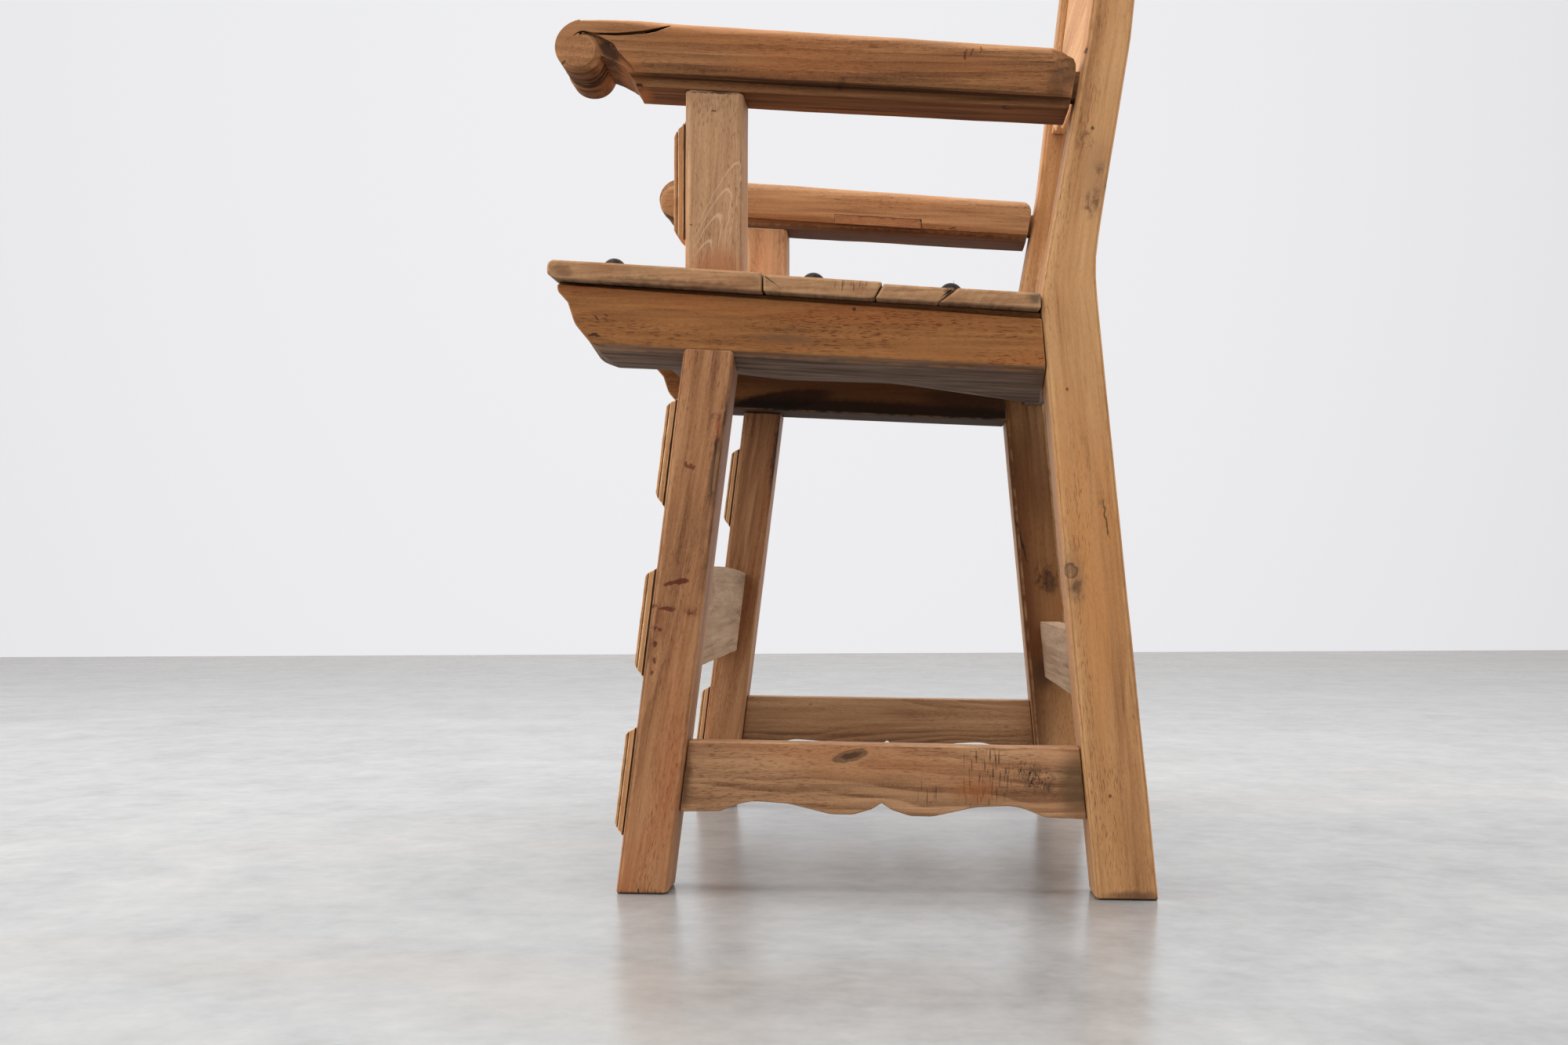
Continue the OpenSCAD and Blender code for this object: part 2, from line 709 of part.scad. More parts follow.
module volute_band(first, last, depth) {
  line = [for (i = [first:last]) volute[i] + [scroll_y(), scroll_z(), 0]];
  count = last - first;
  low_side = [for (p = line) [p[0], p[1]]];
  high_side = [for (i = [count:-1:0]) [line[i][0], line[i][1] + line[i][2]]];
  shape = concat(low_side, high_side);
  across(arm_x1 - depth, arm_x1 + cut, shape);
  across(arm_x0 - cut, arm_x0 + depth, shape);
}

// Strip that wraps over the roll and thins out down its front
module scroll_wrap() {
  turn = 125;
  arc = [for (i = [0:20]) let (t = i / 20, r = scroll_r + scroll_strip * pow(1 - t, 1.25))
    [scroll_y() - r * sin(t * turn), scroll_z() + r * cos(t * turn)]];
  across(arm_x0, arm_x1, concat(arc, [[scroll_y() + cut, scroll_z()],
    [scroll_y() + cut, scroll_z() + scroll_r + scroll_strip]]));
}

// Turned roll with three rings round its middle and a swelling at its inner
// end, as a profile from end to end
roll_edge = 4.5;
roll_swell = 1.5;
roll_proud = 4;
ring_pitch = 8;
ring_w = 5;
ring_groove = 2.4;
module scroll_roll() {
  half = arm_w / 2;
  inner = half + roll_proud;
  rings = [for (i = [-1:1]) each [
    [scroll_r - ring_groove, i * ring_pitch - ring_w / 2 - 1],
    [scroll_r - 0.2, i * ring_pitch - ring_w / 2 + 0.5],
    [scroll_r + 0.3, i * ring_pitch],
    [scroll_r - 0.2, i * ring_pitch + ring_w / 2 - 0.5],
    [scroll_r - ring_groove, i * ring_pitch + ring_w / 2 + 1]]];
  start = ring_pitch + ring_w / 2 + 3;
  translate([x_mid, scroll_y(), scroll_z()]) rotate([0, 90, 0])
    rotate_extrude($fn = turned_facets)
      polygon(concat(
        [[0, -inner], [scroll_r - roll_edge, -inner], [scroll_r, roll_edge / 3 - inner],
         [scroll_r + roll_swell, roll_edge * 1.5 - inner],
         [scroll_r + roll_swell, -start - roll_edge], [scroll_r, -start]],
        rings,
        [[scroll_r, start], [scroll_r, half - roll_edge], [scroll_r - roll_edge, half],
         [0, half]]));
}

// Side view of the arm: its rear end follows the slope of the post and is
// rounded above
arm_end_round = 15;
function arm_end(z) = post_front(z) - arm_gap;
module arm_side() {
  low = arm_under(foot_span) - 30;
  front = scroll_y() - 40;
  rear_top = arm_top(arm_end(arm_top(foot_span * 0.87)));
  across(arm_x0 - cut, arm_x1 + cut, outline([
    [front, low, 0], [arm_end(low), low, 0],
    [arm_end(rear_top), rear_top + 0.2, arm_end_round],
    [front, arm_top(front) + 0.2, 0]]));
}

module armrest_blank() {
  tail = scroll_y() + strip_tail;
  places = concat([foot_span], [for (i = [0:5]) tail - i * strip_tail / 5]);
  difference() {
    intersection() {
      loft([for (y = places) [for (p = arm_section(y)) [p[0], y, p[1]]]]);
      arm_side();
    }
    arm_throat_cut();
    arm_cheek_cut();
  }
  scroll_wrap();
  scroll_roll();
}

module armrest(patched) {
  difference() {
    union() {
      armrest_blank();
      armrest_tenon(0);
    }
    arm_volute_groove();
    arm_post_tenon_high(fit);
    if (patched) arm_patch(fit);
  }
}

// Repair let into the inner lower edge of the right arm
patch_y = 150;
patch_len = 92;
patch_depth = 9;
module arm_patch(grow) {
  back = patch_y + patch_len;
  across(arm_x0 - (grow > 0 ? cut : 0), arm_x0 + patch_depth + grow, [
    [patch_y - grow, arm_quirk(patch_y) - 0.5 - (grow > 0 ? 6 : 0)],
    [back + grow, arm_quirk(back) - 0.5 - (grow > 0 ? 6 : 0)],
    [back + grow, arm_quirk(back) + 9 + grow],
    [patch_y - grow, arm_quirk(patch_y) + 9 + grow]]);
}

// Scalloped side stretcher
function stretch_fall(y) = (y - leg_back(side_stretch_top)) * side_stretch_fall / foot_span;
function stretch_top(y) = side_stretch_top - stretch_fall(y);
function stretch_low(y) = stretch_top(y) - side_stretch_h;
stretch_outer = x_out - side_stretch_in;
stretch_inner = stretch_outer - side_stretch_t;

module side_stretcher_tenon(rear, grow) {
  low = stretch_low(foot_span / 2) + scallop_h + 4 - grow;
  high = stretch_top(foot_span / 2) - 5 + grow;
  middle = (stretch_outer + stretch_inner) / 2;
  x0 = middle - tenon_t / 2 - grow;
  x1 = middle + tenon_t / 2 + grow;
  reach = tenon + grow;
  across(x0, x1, rear
    ? [[post_front(low) - 8, low], [post_front(low) + reach, low],
       [post_front(high) + reach, high], [post_front(high) - 8, high]]
    : [[leg_back(low) - reach, low], [leg_back(low) + 8, low],
       [leg_back(high) + 8, high], [leg_back(high) - reach, high]]);
}

// Half of the scalloped edge, from the middle notch outwards, as shares of
// half the stretcher's length and of the scallops' height
scallop_half = [[0.05, 0.5, 0.02], [0.14, 0, 0.12], [0.25, 0, 0.16],
  [0.46, 0.86, 0.3], [0.66, 1.05, 0.3], [0.8, 0.1, 0.12], [0.86, 0.08, 0.1]];

module side_stretcher() {
  front_low = leg_back(stretch_low(leg_d));
  rear_low = post_front(stretch_low(foot_span));
  middle = (front_low + rear_low) / 2;
  half = (rear_low - front_low) / 2;
  edge = function(side) [for (p = scallop_half)
    let (y = middle + side * p[0] * half)
    [y, stretch_low(y) + p[1] * scallop_h * 0.9, p[2] * half]];
  rear_edge = edge(1);
  front_edge = edge(-1);
  count = len(scallop_half);
  across(stretch_inner, stretch_outer, outline(concat(
    [[middle, stretch_low(middle) + scallop_h * 0.95, 0]],
    rear_edge,
    [[rear_low, stretch_low(rear_low), 0],
     [post_front(stretch_top(rear_low)), stretch_top(rear_low), 0],
     [leg_back(stretch_top(front_low)), stretch_top(front_low), 0],
     [front_low, stretch_low(front_low), 0]],
    [for (i = [count - 1:-1:0]) front_edge[i]])));
  side_stretcher_tenon(true, 0);
  side_stretcher_tenon(false, 0);
}

// Front stretcher: leans with the legs, with a slightly arched top
front_stretch_back = 16;
front_arch = 5;
function front_stretch_rear(z) = leg_back(z) - front_stretch_back;
module front_stretcher_tenon(grow) {
  low = front_stretch_low + 10 - grow;
  high = front_stretch_low + front_stretch_h - 10 + grow;
  trim = (front_stretch_t - 12) / 2 - grow;
  across(x_in - cut, x_in + tenon + grow, [
    [front_stretch_rear(low) - front_stretch_t + trim, low],
    [front_stretch_rear(low) - trim, low],
    [front_stretch_rear(high) - trim, high],
    [front_stretch_rear(high) - front_stretch_t + trim, high]]);
}

module front_stretcher() {
  low = front_stretch_low;
  high = low + front_stretch_h;
  arch_r = (x_in * x_in + front_arch * front_arch) / (2 * front_arch);
  intersection() {
    across(-x_in, x_in, [
      [front_stretch_rear(low) - front_stretch_t, low], [front_stretch_rear(low), low],
      [front_stretch_rear(high + 20), high + 20],
      [front_stretch_rear(high + 20) - front_stretch_t, high + 20]]);
    translate([0, foot_span, 0]) rotate([90, 0, 0])
      linear_extrude(height = foot_span + 60)
        polygon(concat([[x_in, low], [x_in, high]],
          [for (i = [1:15]) let (x = x_in * (1 - i / 8))
            [x, high + front_arch - arch_r + sqrt(arch_r * arch_r - x * x)]],
          [[-x_in, high], [-x_in, low]]));
  }
  for (side = [0, 1]) mirror([side, 0, 0]) front_stretcher_tenon(0);
}

// Rear stretcher: a plain board that leans with the posts
rear_stretch_in = 17;
function rear_stretch_front(z) = post_front(z) + rear_stretch_in;
module rear_stretcher_tenon(grow) {
  low = rear_stretch_low + 8 - grow;
  high = rear_stretch_low + rear_stretch_h - 8 + grow;
  trim = (rear_stretch_t - 12) / 2 - grow;
  across(x_in - cut, x_in + tenon + grow, [
    [rear_stretch_front(low) + trim, low],
    [rear_stretch_front(low) + rear_stretch_t - trim, low],
    [rear_stretch_front(high) + rear_stretch_t - trim, high],
    [rear_stretch_front(high) + trim, high]]);
}

module rear_stretcher() {
  low = rear_stretch_low;
  high = low + rear_stretch_h;
  across(-x_in, x_in, outline([
    [rear_stretch_front(low), low, 1.5],
    [rear_stretch_front(low) + rear_stretch_t, low, 1.5],
    [rear_stretch_front(high) + rear_stretch_t, high, 1.5],
    [rear_stretch_front(high), high, 1.5]]));
  for (side = [0, 1]) mirror([side, 0, 0]) rear_stretcher_tenon(0);
}

// Back boards lie in one straight slope and are let into the posts
back_tenon_len = 12;
back_foot = back_low - back_drop;
back_head = crest_end + crest_rise;
back_lean = (post_up_front(back_head) - post_up_front(back_foot)) / (back_head - back_foot);
function back_front(z) = post_up_front(back_foot) + back_in + (z - back_foot) * back_lean;
module back_slab(x0, x1, low, high, trim) {
  across(x0, x1, [
    [back_front(low) + trim, low], [back_front(low) + back_t - trim, low],
    [back_front(high) + back_t - trim, high], [back_front(high) + trim, high]]);
}

module back_board_tenon(low, high, grow) {
  back_slab(x_in - cut, x_in + back_tenon_len + grow, low - grow, high + grow, 2.5 - grow);
}

// Cuts a back board to an outline seen from the front
module back_board(points, low, high) {
  intersection() {
    back_slab(-x_in, x_in, low, high, 0);
    translate([0, 2 * foot_span, 0]) rotate([90, 0, 0])
      linear_extrude(height = 2 * foot_span) polygon(outline(points));
  }
}

module back_lower_board() {
  w = x_in;
  drop = back_drop;
  back_board([
    [w, back_joint - 0.2, 0], [-w, back_joint - 0.2, 0], [-w, back_low, 0],
    [-w * 0.86, back_low, 20], [-w * 0.74, back_low - drop * 0.34, 24],
    [-w * 0.46, back_low - drop * 0.3, 40], [-w * 0.3, back_low - drop, 50],
    [w * 0.3, back_low - drop, 50], [w * 0.46, back_low - drop * 0.3, 40],
    [w * 0.74, back_low - drop * 0.34, 24], [w * 0.86, back_low, 20], [w, back_low, 0]],
    back_low - drop - 5, back_joint + 5);
  for (side = [0, 1]) mirror([side, 0, 0]) back_board_tenon(back_low + 10, back_joint - 8, 0);
}

module back_crest_board() {
  w = x_in;
  back_board([
    [-w, back_joint + 0.2, 0], [w, back_joint + 0.2, 0], [w, crest_end, 0],
    [w * 0.84, crest_end, 24], [w * 0.72, crest_end + crest_rise * 0.45, 30],
    [w * 0.42, crest_end + crest_rise * 0.5, 50], [w * 0.26, crest_end + crest_rise, 60],
    [-w * 0.26, crest_end + crest_rise, 60], [-w * 0.42, crest_end + crest_rise * 0.5, 50],
    [-w * 0.72, crest_end + crest_rise * 0.45, 30], [-w * 0.84, crest_end, 24],
    [-w, crest_end, 0]],
    back_joint - 5, crest_end + crest_rise + 5);
  for (side = [0, 1]) mirror([side, 0, 0]) back_board_tenon(back_joint + 8, crest_end - 8, 0);
}

// Stepped block seen from the side: a narrow foot, a thick tier, a groove and
// a thin tier, as shares of its height, each with its distance from the sides
block_tiers = [[0, 0.15, 3.5], [0.15, 0.64, 0], [0.64, 0.76, 2.5], [0.76, 1, 1.2]];
// How the slanted end of a block sways over its height
function end_sway(share) = share + 0.09 * sin(360 * share);

module stepped_block(length, width, out, low_slant, high_slant) {
  for (tier = block_tiers) {
    rise = [for (i = [0:3]) tier[0] + (tier[1] - tier[0]) * i / 3];
    across(tier[2] - width / 2, width / 2 - tier[2], concat(
      [for (share = rise) [-share * out, low_slant * end_sway(share)]],
      [for (i = [3:-1:0]) [-rise[i] * out, length - high_slant * end_sway(rise[i])]]));
  }
}

block_high = rail_low(0) - block_gap - block_len;
block_middle = block_low + block_share * (block_high - block_low);

module leg_block(low) {
  translate([x_mid, leg_front(low), low]) rotate([-leg_lean, 0, 0])
    stepped_block(block_len, leg_w - 2 * block_side, block_out, 12, 8);
}

module post_block() {
  low = seat_top(arm_post_y, board_t) + post_block_gap;
  length = arm_under(arm_post_y) - post_block_gap - low;
  translate([x_mid, arm_post_y, low])
    stepped_block(length, leg_w - 2 * block_side, post_block_out, 9, 14);
}

color(leg_color) on_side(false) front_leg();  // left_front_leg
color(leg_color) on_side(true) front_leg();  // right_front_leg
color(leg_color) on_side(false) back_post();  // left_back_post
color(leg_color) on_side(true) back_post();  // right_back_post
color(leg_color) on_side(false) arm_post();  // left_arm_post
color(leg_color) on_side(true) arm_post();  // right_arm_post
color(arm_color) on_side(false) armrest(false);  // left_armrest
color(arm_color) on_side(true) armrest(true);  // right_armrest
color(rail_color) on_side(true) arm_patch(0);  // right_armrest_patch
color(rail_color) on_side(false) seat_rail();  // left_seat_rail
color(rail_color) on_side(true) seat_rail();  // right_seat_rail
color(rail_color) in_place() front_seat_rail();
color(rail_color) in_place() rear_seat_rail();
color(board_color) seat_board(0);  // seat_board_1
color(board_color) seat_board(1);  // seat_board_2
color(board_color) seat_board(2);  // seat_board_3
color(board_color) seat_board(3);  // seat_board_4
color(iron_color) on_side(false) seat_nails();  // left_seat_nails
color(iron_color) on_side(true) seat_nails();  // right_seat_nails
color(leg_color) on_side(false) side_stretcher();  // left_side_stretcher
color(leg_color) on_side(true) side_stretcher();  // right_side_stretcher
color(cross_color) in_place() front_stretcher();
color(cross_color) in_place() rear_stretcher();
color(leg_color) in_place() back_lower_board();
color(leg_color) in_place() back_crest_board();
color(block_color) on_side(false) leg_block(block_low);  // left_leg_block_low
color(block_color) on_side(false) leg_block(block_middle);  // left_leg_block_middle
color(block_color) on_side(false) leg_block(block_high);  // left_leg_block_high
color(block_color) on_side(true) leg_block(block_low);  // right_leg_block_low
color(block_color) on_side(true) leg_block(block_middle);  // right_leg_block_middle
color(block_color) on_side(true) leg_block(block_high);  // right_leg_block_high
color(block_color) on_side(false) post_block();  // left_post_block
color(block_color) on_side(true) post_block();  // right_post_block
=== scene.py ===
"""Looks of the rustic wooden armchair: worn, hand-cut pieces of oiled wood on a studio floor."""

from __future__ import annotations

import logging
import math
from collections.abc import Callable
from dataclasses import dataclass, replace
from enum import Enum

import bmesh
import bpy
from mathutils import Euler, Matrix, Vector, noise


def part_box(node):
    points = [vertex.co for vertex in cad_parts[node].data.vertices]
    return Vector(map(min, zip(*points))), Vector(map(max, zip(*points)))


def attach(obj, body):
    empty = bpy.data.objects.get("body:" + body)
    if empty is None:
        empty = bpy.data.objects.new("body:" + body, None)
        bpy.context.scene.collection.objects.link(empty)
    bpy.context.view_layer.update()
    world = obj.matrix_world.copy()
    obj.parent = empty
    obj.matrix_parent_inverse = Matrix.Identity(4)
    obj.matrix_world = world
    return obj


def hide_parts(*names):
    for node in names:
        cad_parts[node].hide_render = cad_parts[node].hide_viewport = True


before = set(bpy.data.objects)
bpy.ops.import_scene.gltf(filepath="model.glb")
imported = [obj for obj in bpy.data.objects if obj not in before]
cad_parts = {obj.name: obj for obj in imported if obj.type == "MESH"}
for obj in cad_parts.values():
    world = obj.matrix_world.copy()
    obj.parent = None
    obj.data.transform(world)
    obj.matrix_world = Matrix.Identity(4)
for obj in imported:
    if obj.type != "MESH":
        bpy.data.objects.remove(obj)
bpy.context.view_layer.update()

log = logging.getLogger("armchair")

Colour = tuple[float, float, float, float]
Triple = tuple[float, float, float]
Shaper = Callable[[bmesh.types.BMesh], None]

WEAR_SEED = 7
noise.seed_set(WEAR_SEED)
MILLIMETRES = 1000
SIDES = (("left", 1), ("right", -1))


def paint(red: int, green: int, blue: int) -> Colour:
    """Turn a colour as it is seen on a screen into the linear one that shaders take.

    Args:
        red: Red, 0 to 255.
        green: Green, 0 to 255.
        blue: Blue, 0 to 255.

    Returns:
        The linear colour with an alpha of 1.
    """
    parts = [v / 255 for v in (red, green, blue)]
    linear = [v / 12.92 if v <= 0.04045 else ((v + 0.055) / 1.055) ** 2.4 for v in parts]
    return (linear[0], linear[1], linear[2], 1.0)


def stand(name: str, data: bpy.types.ID) -> bpy.types.Object:
    """Stand a new object in the scene.

    Args:
        name: Name of the object.
        data: Its mesh, camera or lamp.

    Returns:
        The object.
    """
    made = bpy.data.objects.new(name, data)
    bpy.context.scene.collection.objects.link(made)
    return made


class Sock:
    """A shader value, on which Python's operators add Math nodes."""

    def __init__(self, maker: NodeMaker, link: bpy.types.NodeSocket) -> None:
        """Keep the node maker and the socket that carries the value."""
        self.maker = maker
        self.link = link

    def _math(self, operation: str, first: Value, second: Value = 0.0) -> Sock:
        """Add one Math node."""
        return self.maker.add("Math", {0: first, 1: second}, operation=operation)

    def __add__(self, other: Value) -> Sock:
        """Sum."""
        return self._math("ADD", self, other)

    def __sub__(self, other: Value) -> Sock:
        """Difference."""
        return self._math("SUBTRACT", self, other)

    def __rsub__(self, other: Value) -> Sock:
        """Difference."""
        return self._math("SUBTRACT", other, self)

    def __mul__(self, other: Value) -> Sock:
        """Product."""
        return self._math("MULTIPLY", self, other)

    def __truediv__(self, other: Value) -> Sock:
        """Quotient."""
        return self._math("DIVIDE", self, other)

    def __abs__(self) -> Sock:
        """Value without its sign."""
        return self._math("ABSOLUTE", self)

    def fraction(self) -> Sock:
        """Part after the decimal point."""
        return self._math("FRACT", self)

    def most(self, other: Value) -> Sock:
        """Larger of the two."""
        return self._math("MAXIMUM", self, other)

    def least(self, other: Value) -> Sock:
        """Smaller of the two."""
        return self._math("MINIMUM", self, other)

    def rise(self, low: float, high: float) -> Sock:
        """Go softly from 0 at one value to 1 at another.

        Args:
            low: Value where the result is 0.
            high: Value where the result is 1.

        Returns:
            The smooth step.
        """
        values = {0: self, 1: low, 2: high, 3: 0.0, 4: 1.0}
        return self.maker.add("MapRange", values, interpolation_type="SMOOTHSTEP")


Value = Sock | float


class NodeMaker:
    """Builds the nodes of one material, or of the air around the studio."""

    def __init__(self, owner: bpy.types.Material | bpy.types.World) -> None:
        """Take over the nodes of a material or of the air.

        Args:
            owner: The material, or the world that holds the air.
        """
        owner.use_nodes = True
        self.owner = owner
        self.tree = owner.node_tree
        self.tree.nodes.clear()
        self.coordinates = self.tree.nodes.new("ShaderNodeTexCoord")

    def add(
        self, kind: str, values: dict[int | str, object], output: int | str = 0, **settings: object
    ) -> Sock:
        """Add a node.

        Args:
            kind: Blender's name of the node type, without "ShaderNode".
            values: Values or links of its sockets, by index or name.
            output: The output that is wanted.
            settings: Attributes of the node.

        Returns:
            That output.
        """
        node = self.tree.nodes.new("ShaderNode" + kind)
        for name, value in settings.items():
            setattr(node, name, value)
        for key, value in values.items():
            if isinstance(value, Sock):
                self.tree.links.new(value.link, node.inputs[key])
            else:
                node.inputs[key].default_value = value
        return Sock(self, node.outputs[output])

    def place(self) -> Sock:
        """Point of the surface in the chair's frame."""
        return Sock(self, self.coordinates.outputs["Object"])

    def faces(self, way: Triple) -> Sock:
        """How far the surface faces a direction of the chair's frame, -1 to 1."""
        normal = Sock(self, self.coordinates.outputs["Normal"])
        return self.vector("DOT_PRODUCT", normal, way, "Value")

    def local(self, point: Sock, at: Triple, turn: Triple, size: Triple = (1, 1, 1)) -> Sock:
        """Express a point in the axes of a turned and scaled box.

        Args:
            point: The point.
            at: Centre of the box.
            turn: Euler angles of the box.
            size: Lengths that become 1.

        Returns:
            The point in the box.
        """
        values = {"Vector": point, "Location": at, "Rotation": turn, "Scale": size}
        return self.add("Mapping", values, vector_type="TEXTURE")

    def vector(self, operation: str, first: object, second: object, output: int | str = 0) -> Sock:
        """Add a Vector Math node."""
        return self.add("VectorMath", {0: first, 1: second}, output, operation=operation)

    def length(self, point: Sock) -> Sock:
        """Length of a vector."""
        return self.vector("LENGTH", point, (0, 0, 0), "Value")

    def part(self, point: Sock, axis: int) -> Sock:
        """One coordinate of a vector, 0 to 2."""
        return self.add("SeparateXYZ", {0: point}, axis)

    def join(self, *parts: Value) -> Sock:
        """Vector of three coordinates."""
        return self.add("CombineXYZ", dict(enumerate(parts)))

    def cloud(self, point: Sock, rate: Triple, detail: float = 2.0, roughness: float = 0.5) -> Sock:
        """Noise, stretched by a rate along each axis.

        Args:
            point: Where it is read.
            rate: Waves in a metre along each axis.
            detail: Octaves.
            roughness: Strength of the finer octaves.

        Returns:
            The noise, around 0.5.
        """
        values = {
            "Vector": self.vector("MULTIPLY", point, rate),
            "Scale": 1.0,
            "Detail": detail,
            "Roughness": roughness,
        }
        return self.add("TexNoise", values, "Fac")

    def mix(self, amount: Value, first: object, second: object, blend: str = "MIX") -> Sock:
        """Mix two colours.

        Args:
            amount: Share of the second, 0 to 1.
            first: Colour at 0.
            second: Colour at 1.
            blend: Name of the blend.

        Returns:
            The mixed colour.
        """
        values = {0: amount, 6: first, 7: second}
        return self.add("Mix", values, 2, data_type="RGBA", blend_type=blend)

    def tint(self, amount: Value, colour: Sock, factor: Colour) -> Sock:
        """Multiply a share of a colour by another."""
        return self.mix(amount, colour, self.mix(1.0, colour, factor, "MULTIPLY"))

    def ramp(self, tone: Sock, reach: float, *colours: Colour) -> Sock:
        """Colour a tone with three colours around 0.5.

        Args:
            tone: The tone.
            reach: Distance of the outer colours from the middle one.
            colours: The three colours, from the lowest tone up.

        Returns:
            The colour.
        """
        colour = self.add("ValToRGB", {0: tone})
        stops = colour.link.node.color_ramp.elements
        stops.new(0.5)
        for stop, step, shade in zip(stops, (-reach, 0.0, reach), colours):
            stop.position, stop.color = 0.5 + step, shade
        return colour

    def bump(self, height: Value, distance: float) -> Sock:
        """Tilt of the surface under a relief of a given depth in metres."""
        values = {"Height": height, "Distance": distance, "Strength": 0.6}
        return self.add("Bump", values)

    def glow(self, colour: Sock | Colour) -> Sock:
        """Shader that shows a colour as it is painted."""
        return self.add("Emission", {"Color": colour, "Strength": 1.0})

    def blend(self, amount: Value, first: Sock, second: Sock) -> Sock:
        """Mix of two shaders."""
        return self.add("MixShader", {0: amount, 1: first, 2: second})

    def solid(self, **values: object) -> bpy.types.Material:
        """Finish the material of a solid surface.

        Args:
            values: Inputs of its shader, with "_" for each space in their names.

        Returns:
            The material.
        """
        inputs = {name.replace("_", " "): value for name, value in values.items()}
        return self.surface(self.add("BsdfPrincipled", inputs))

    def surface(self, shader: Sock) -> bpy.types.Material | bpy.types.World:
        """Join a shader to the output.

        Args:
            shader: The finished shader.

        Returns:
            The material or the world.
        """
        kind = "World" if isinstance(self.owner, bpy.types.World) else "Material"
        out = self.tree.nodes.new("ShaderNodeOutput" + kind)
        self.tree.links.new(shader.link, out.inputs["Surface"])
        return self.owner


class MarkKind(Enum):
    """Kinds of mark that the wood carries."""

    STAIN = "stain"
    FLECKS = "flecks"
    CHECK = "check"
    KNOT = "knot"
    ARCH = "arch"
    SCRATCHES = "scratches"
    HATCH = "hatch"
    SMUDGE = "smudge"
    RINGS = "rings"


STAIN, FLECKS, CHECK, KNOT, ARCH, SCRATCHES, HATCH, SMUDGE, RINGS = MarkKind


@dataclass(frozen=True)
class Mark:
    """One mark in the wood, held in a turned ellipsoid."""

    kind: MarkKind
    at: Triple
    size: Triple
    turn: float = 0.0
    colour: Colour = (0.045, 0.025, 0.014, 1.0)
    strength: float = 0.8
    hard: float = 0.3
    ruled: bool = False

    def lay(
        self, maker: NodeMaker, place: Sock, ruffled: Sock, colour: Sock, depth: Sock
    ) -> tuple[Sock, Sock]:
        """Lay the mark over the wood.

        Args:
            maker: Builder of the material.
            place: Surface point.
            ruffled: Surface point, slightly ruffled.
            colour: Colour of the wood so far.
            depth: Height of its fine relief so far.

        Returns:
            The new colour and height.
        """
        turn = (math.radians(self.turn), 0.0, 0.0)
        point = place if self.ruled else ruffled
        inside = maker.local(point, self.at, turn, self.size)
        reach = maker.length(inside)
        dip = 0.0
        if self.kind is STAIN:
            spread = 1.0 - reach.rise(self.hard, 1.0)
        elif self.kind is SMUDGE:
            smoke = maker.cloud(point, (170, 170, 110), 4.0, 0.7).rise(0.4, 0.66)
            spread, dip = smoke * (1.0 - reach.rise(0.25, 1.0)), 0.2
        elif self.kind is RINGS:
            turned = (maker.part(point, 0) - self.at[0]) * 125.0 + 0.5
            groove = 1.0 - abs((turned + 8.0).fraction() - 0.5).rise(0.1, 0.24)
            spread = groove * (1.0 - reach.rise(self.hard, 1.0))
        elif self.kind is FLECKS:
            grit = maker.cloud(point, (900, 900, 260), 3.0, 0.65).rise(0.52, 0.62)
            spread, dip = grit * (1.0 - reach.rise(0.3, 1.0)), 0.4
        elif self.kind is CHECK:
            spread, dip = 1.0 - reach.rise(0.55, 1.0), 2.5
        elif self.kind is ARCH:
            side = maker.part(inside, 1)
            bow = maker.part(inside, 2) + side * side * 1.9
            line = 1.0 - abs((bow * 2.6).fraction() - 0.5).rise(0.02, 0.11)
            spread = line * (1.0 - reach.rise(0.75, 1.0)) * (1.0 - bow.rise(0.8, 0.95))
        elif self.kind is SCRATCHES:
            comb = maker.cloud(point, (300, 700, 70), 1.0).rise(0.56, 0.64)
            spread, dip = comb * (1.0 - reach.rise(0.55, 1.0)), 0.8
        elif self.kind is HATCH:
            rows = maker.cloud(point, (500, 240, 1100), 1.0)
            rows = rows.most(maker.cloud(point, (500, 1100, 240), 1.0))
            spread = rows.rise(0.5, 0.68) * (1.0 - reach.rise(0.85, 1.0))
        else:
            rim = reach.rise(0.55, 0.8) * (1.0 - reach.rise(0.85, 1.05))
            heart = (1.0 - reach.rise(0.55, 0.75)) * ((reach * 3.1).fraction() * 0.4 + 0.35)
            spread, dip = rim + heart, 0.6
        spread = spread * self.strength
        return maker.mix(spread, colour, self.colour), depth - spread * dip


def place_marks(*rows: tuple, across: float | None = None) -> tuple[Mark, ...]:
    """Place marks on a piece.

    Args:
        rows: For each mark its kind, its place and then its size along X, Y and Z in
            millimetres, and its turn, colour, strength, hardness and ruling where they
            aren't the usual ones.
        across: The X of all the marks, which their rows then leave out.

    Returns:
        The marks.
    """
    marks = []
    for kind, *numbers in rows:
        if across is not None:
            numbers.insert(0, across)
        at, size = (tuple(v / MILLIMETRES for v in numbers[i : i + 3]) for i in (0, 3))
        rest = (paint(*v) if isinstance(v, tuple) else v for v in numbers[6:])
        marks.append(Mark(kind, at, size, *rest))
    return tuple(marks)


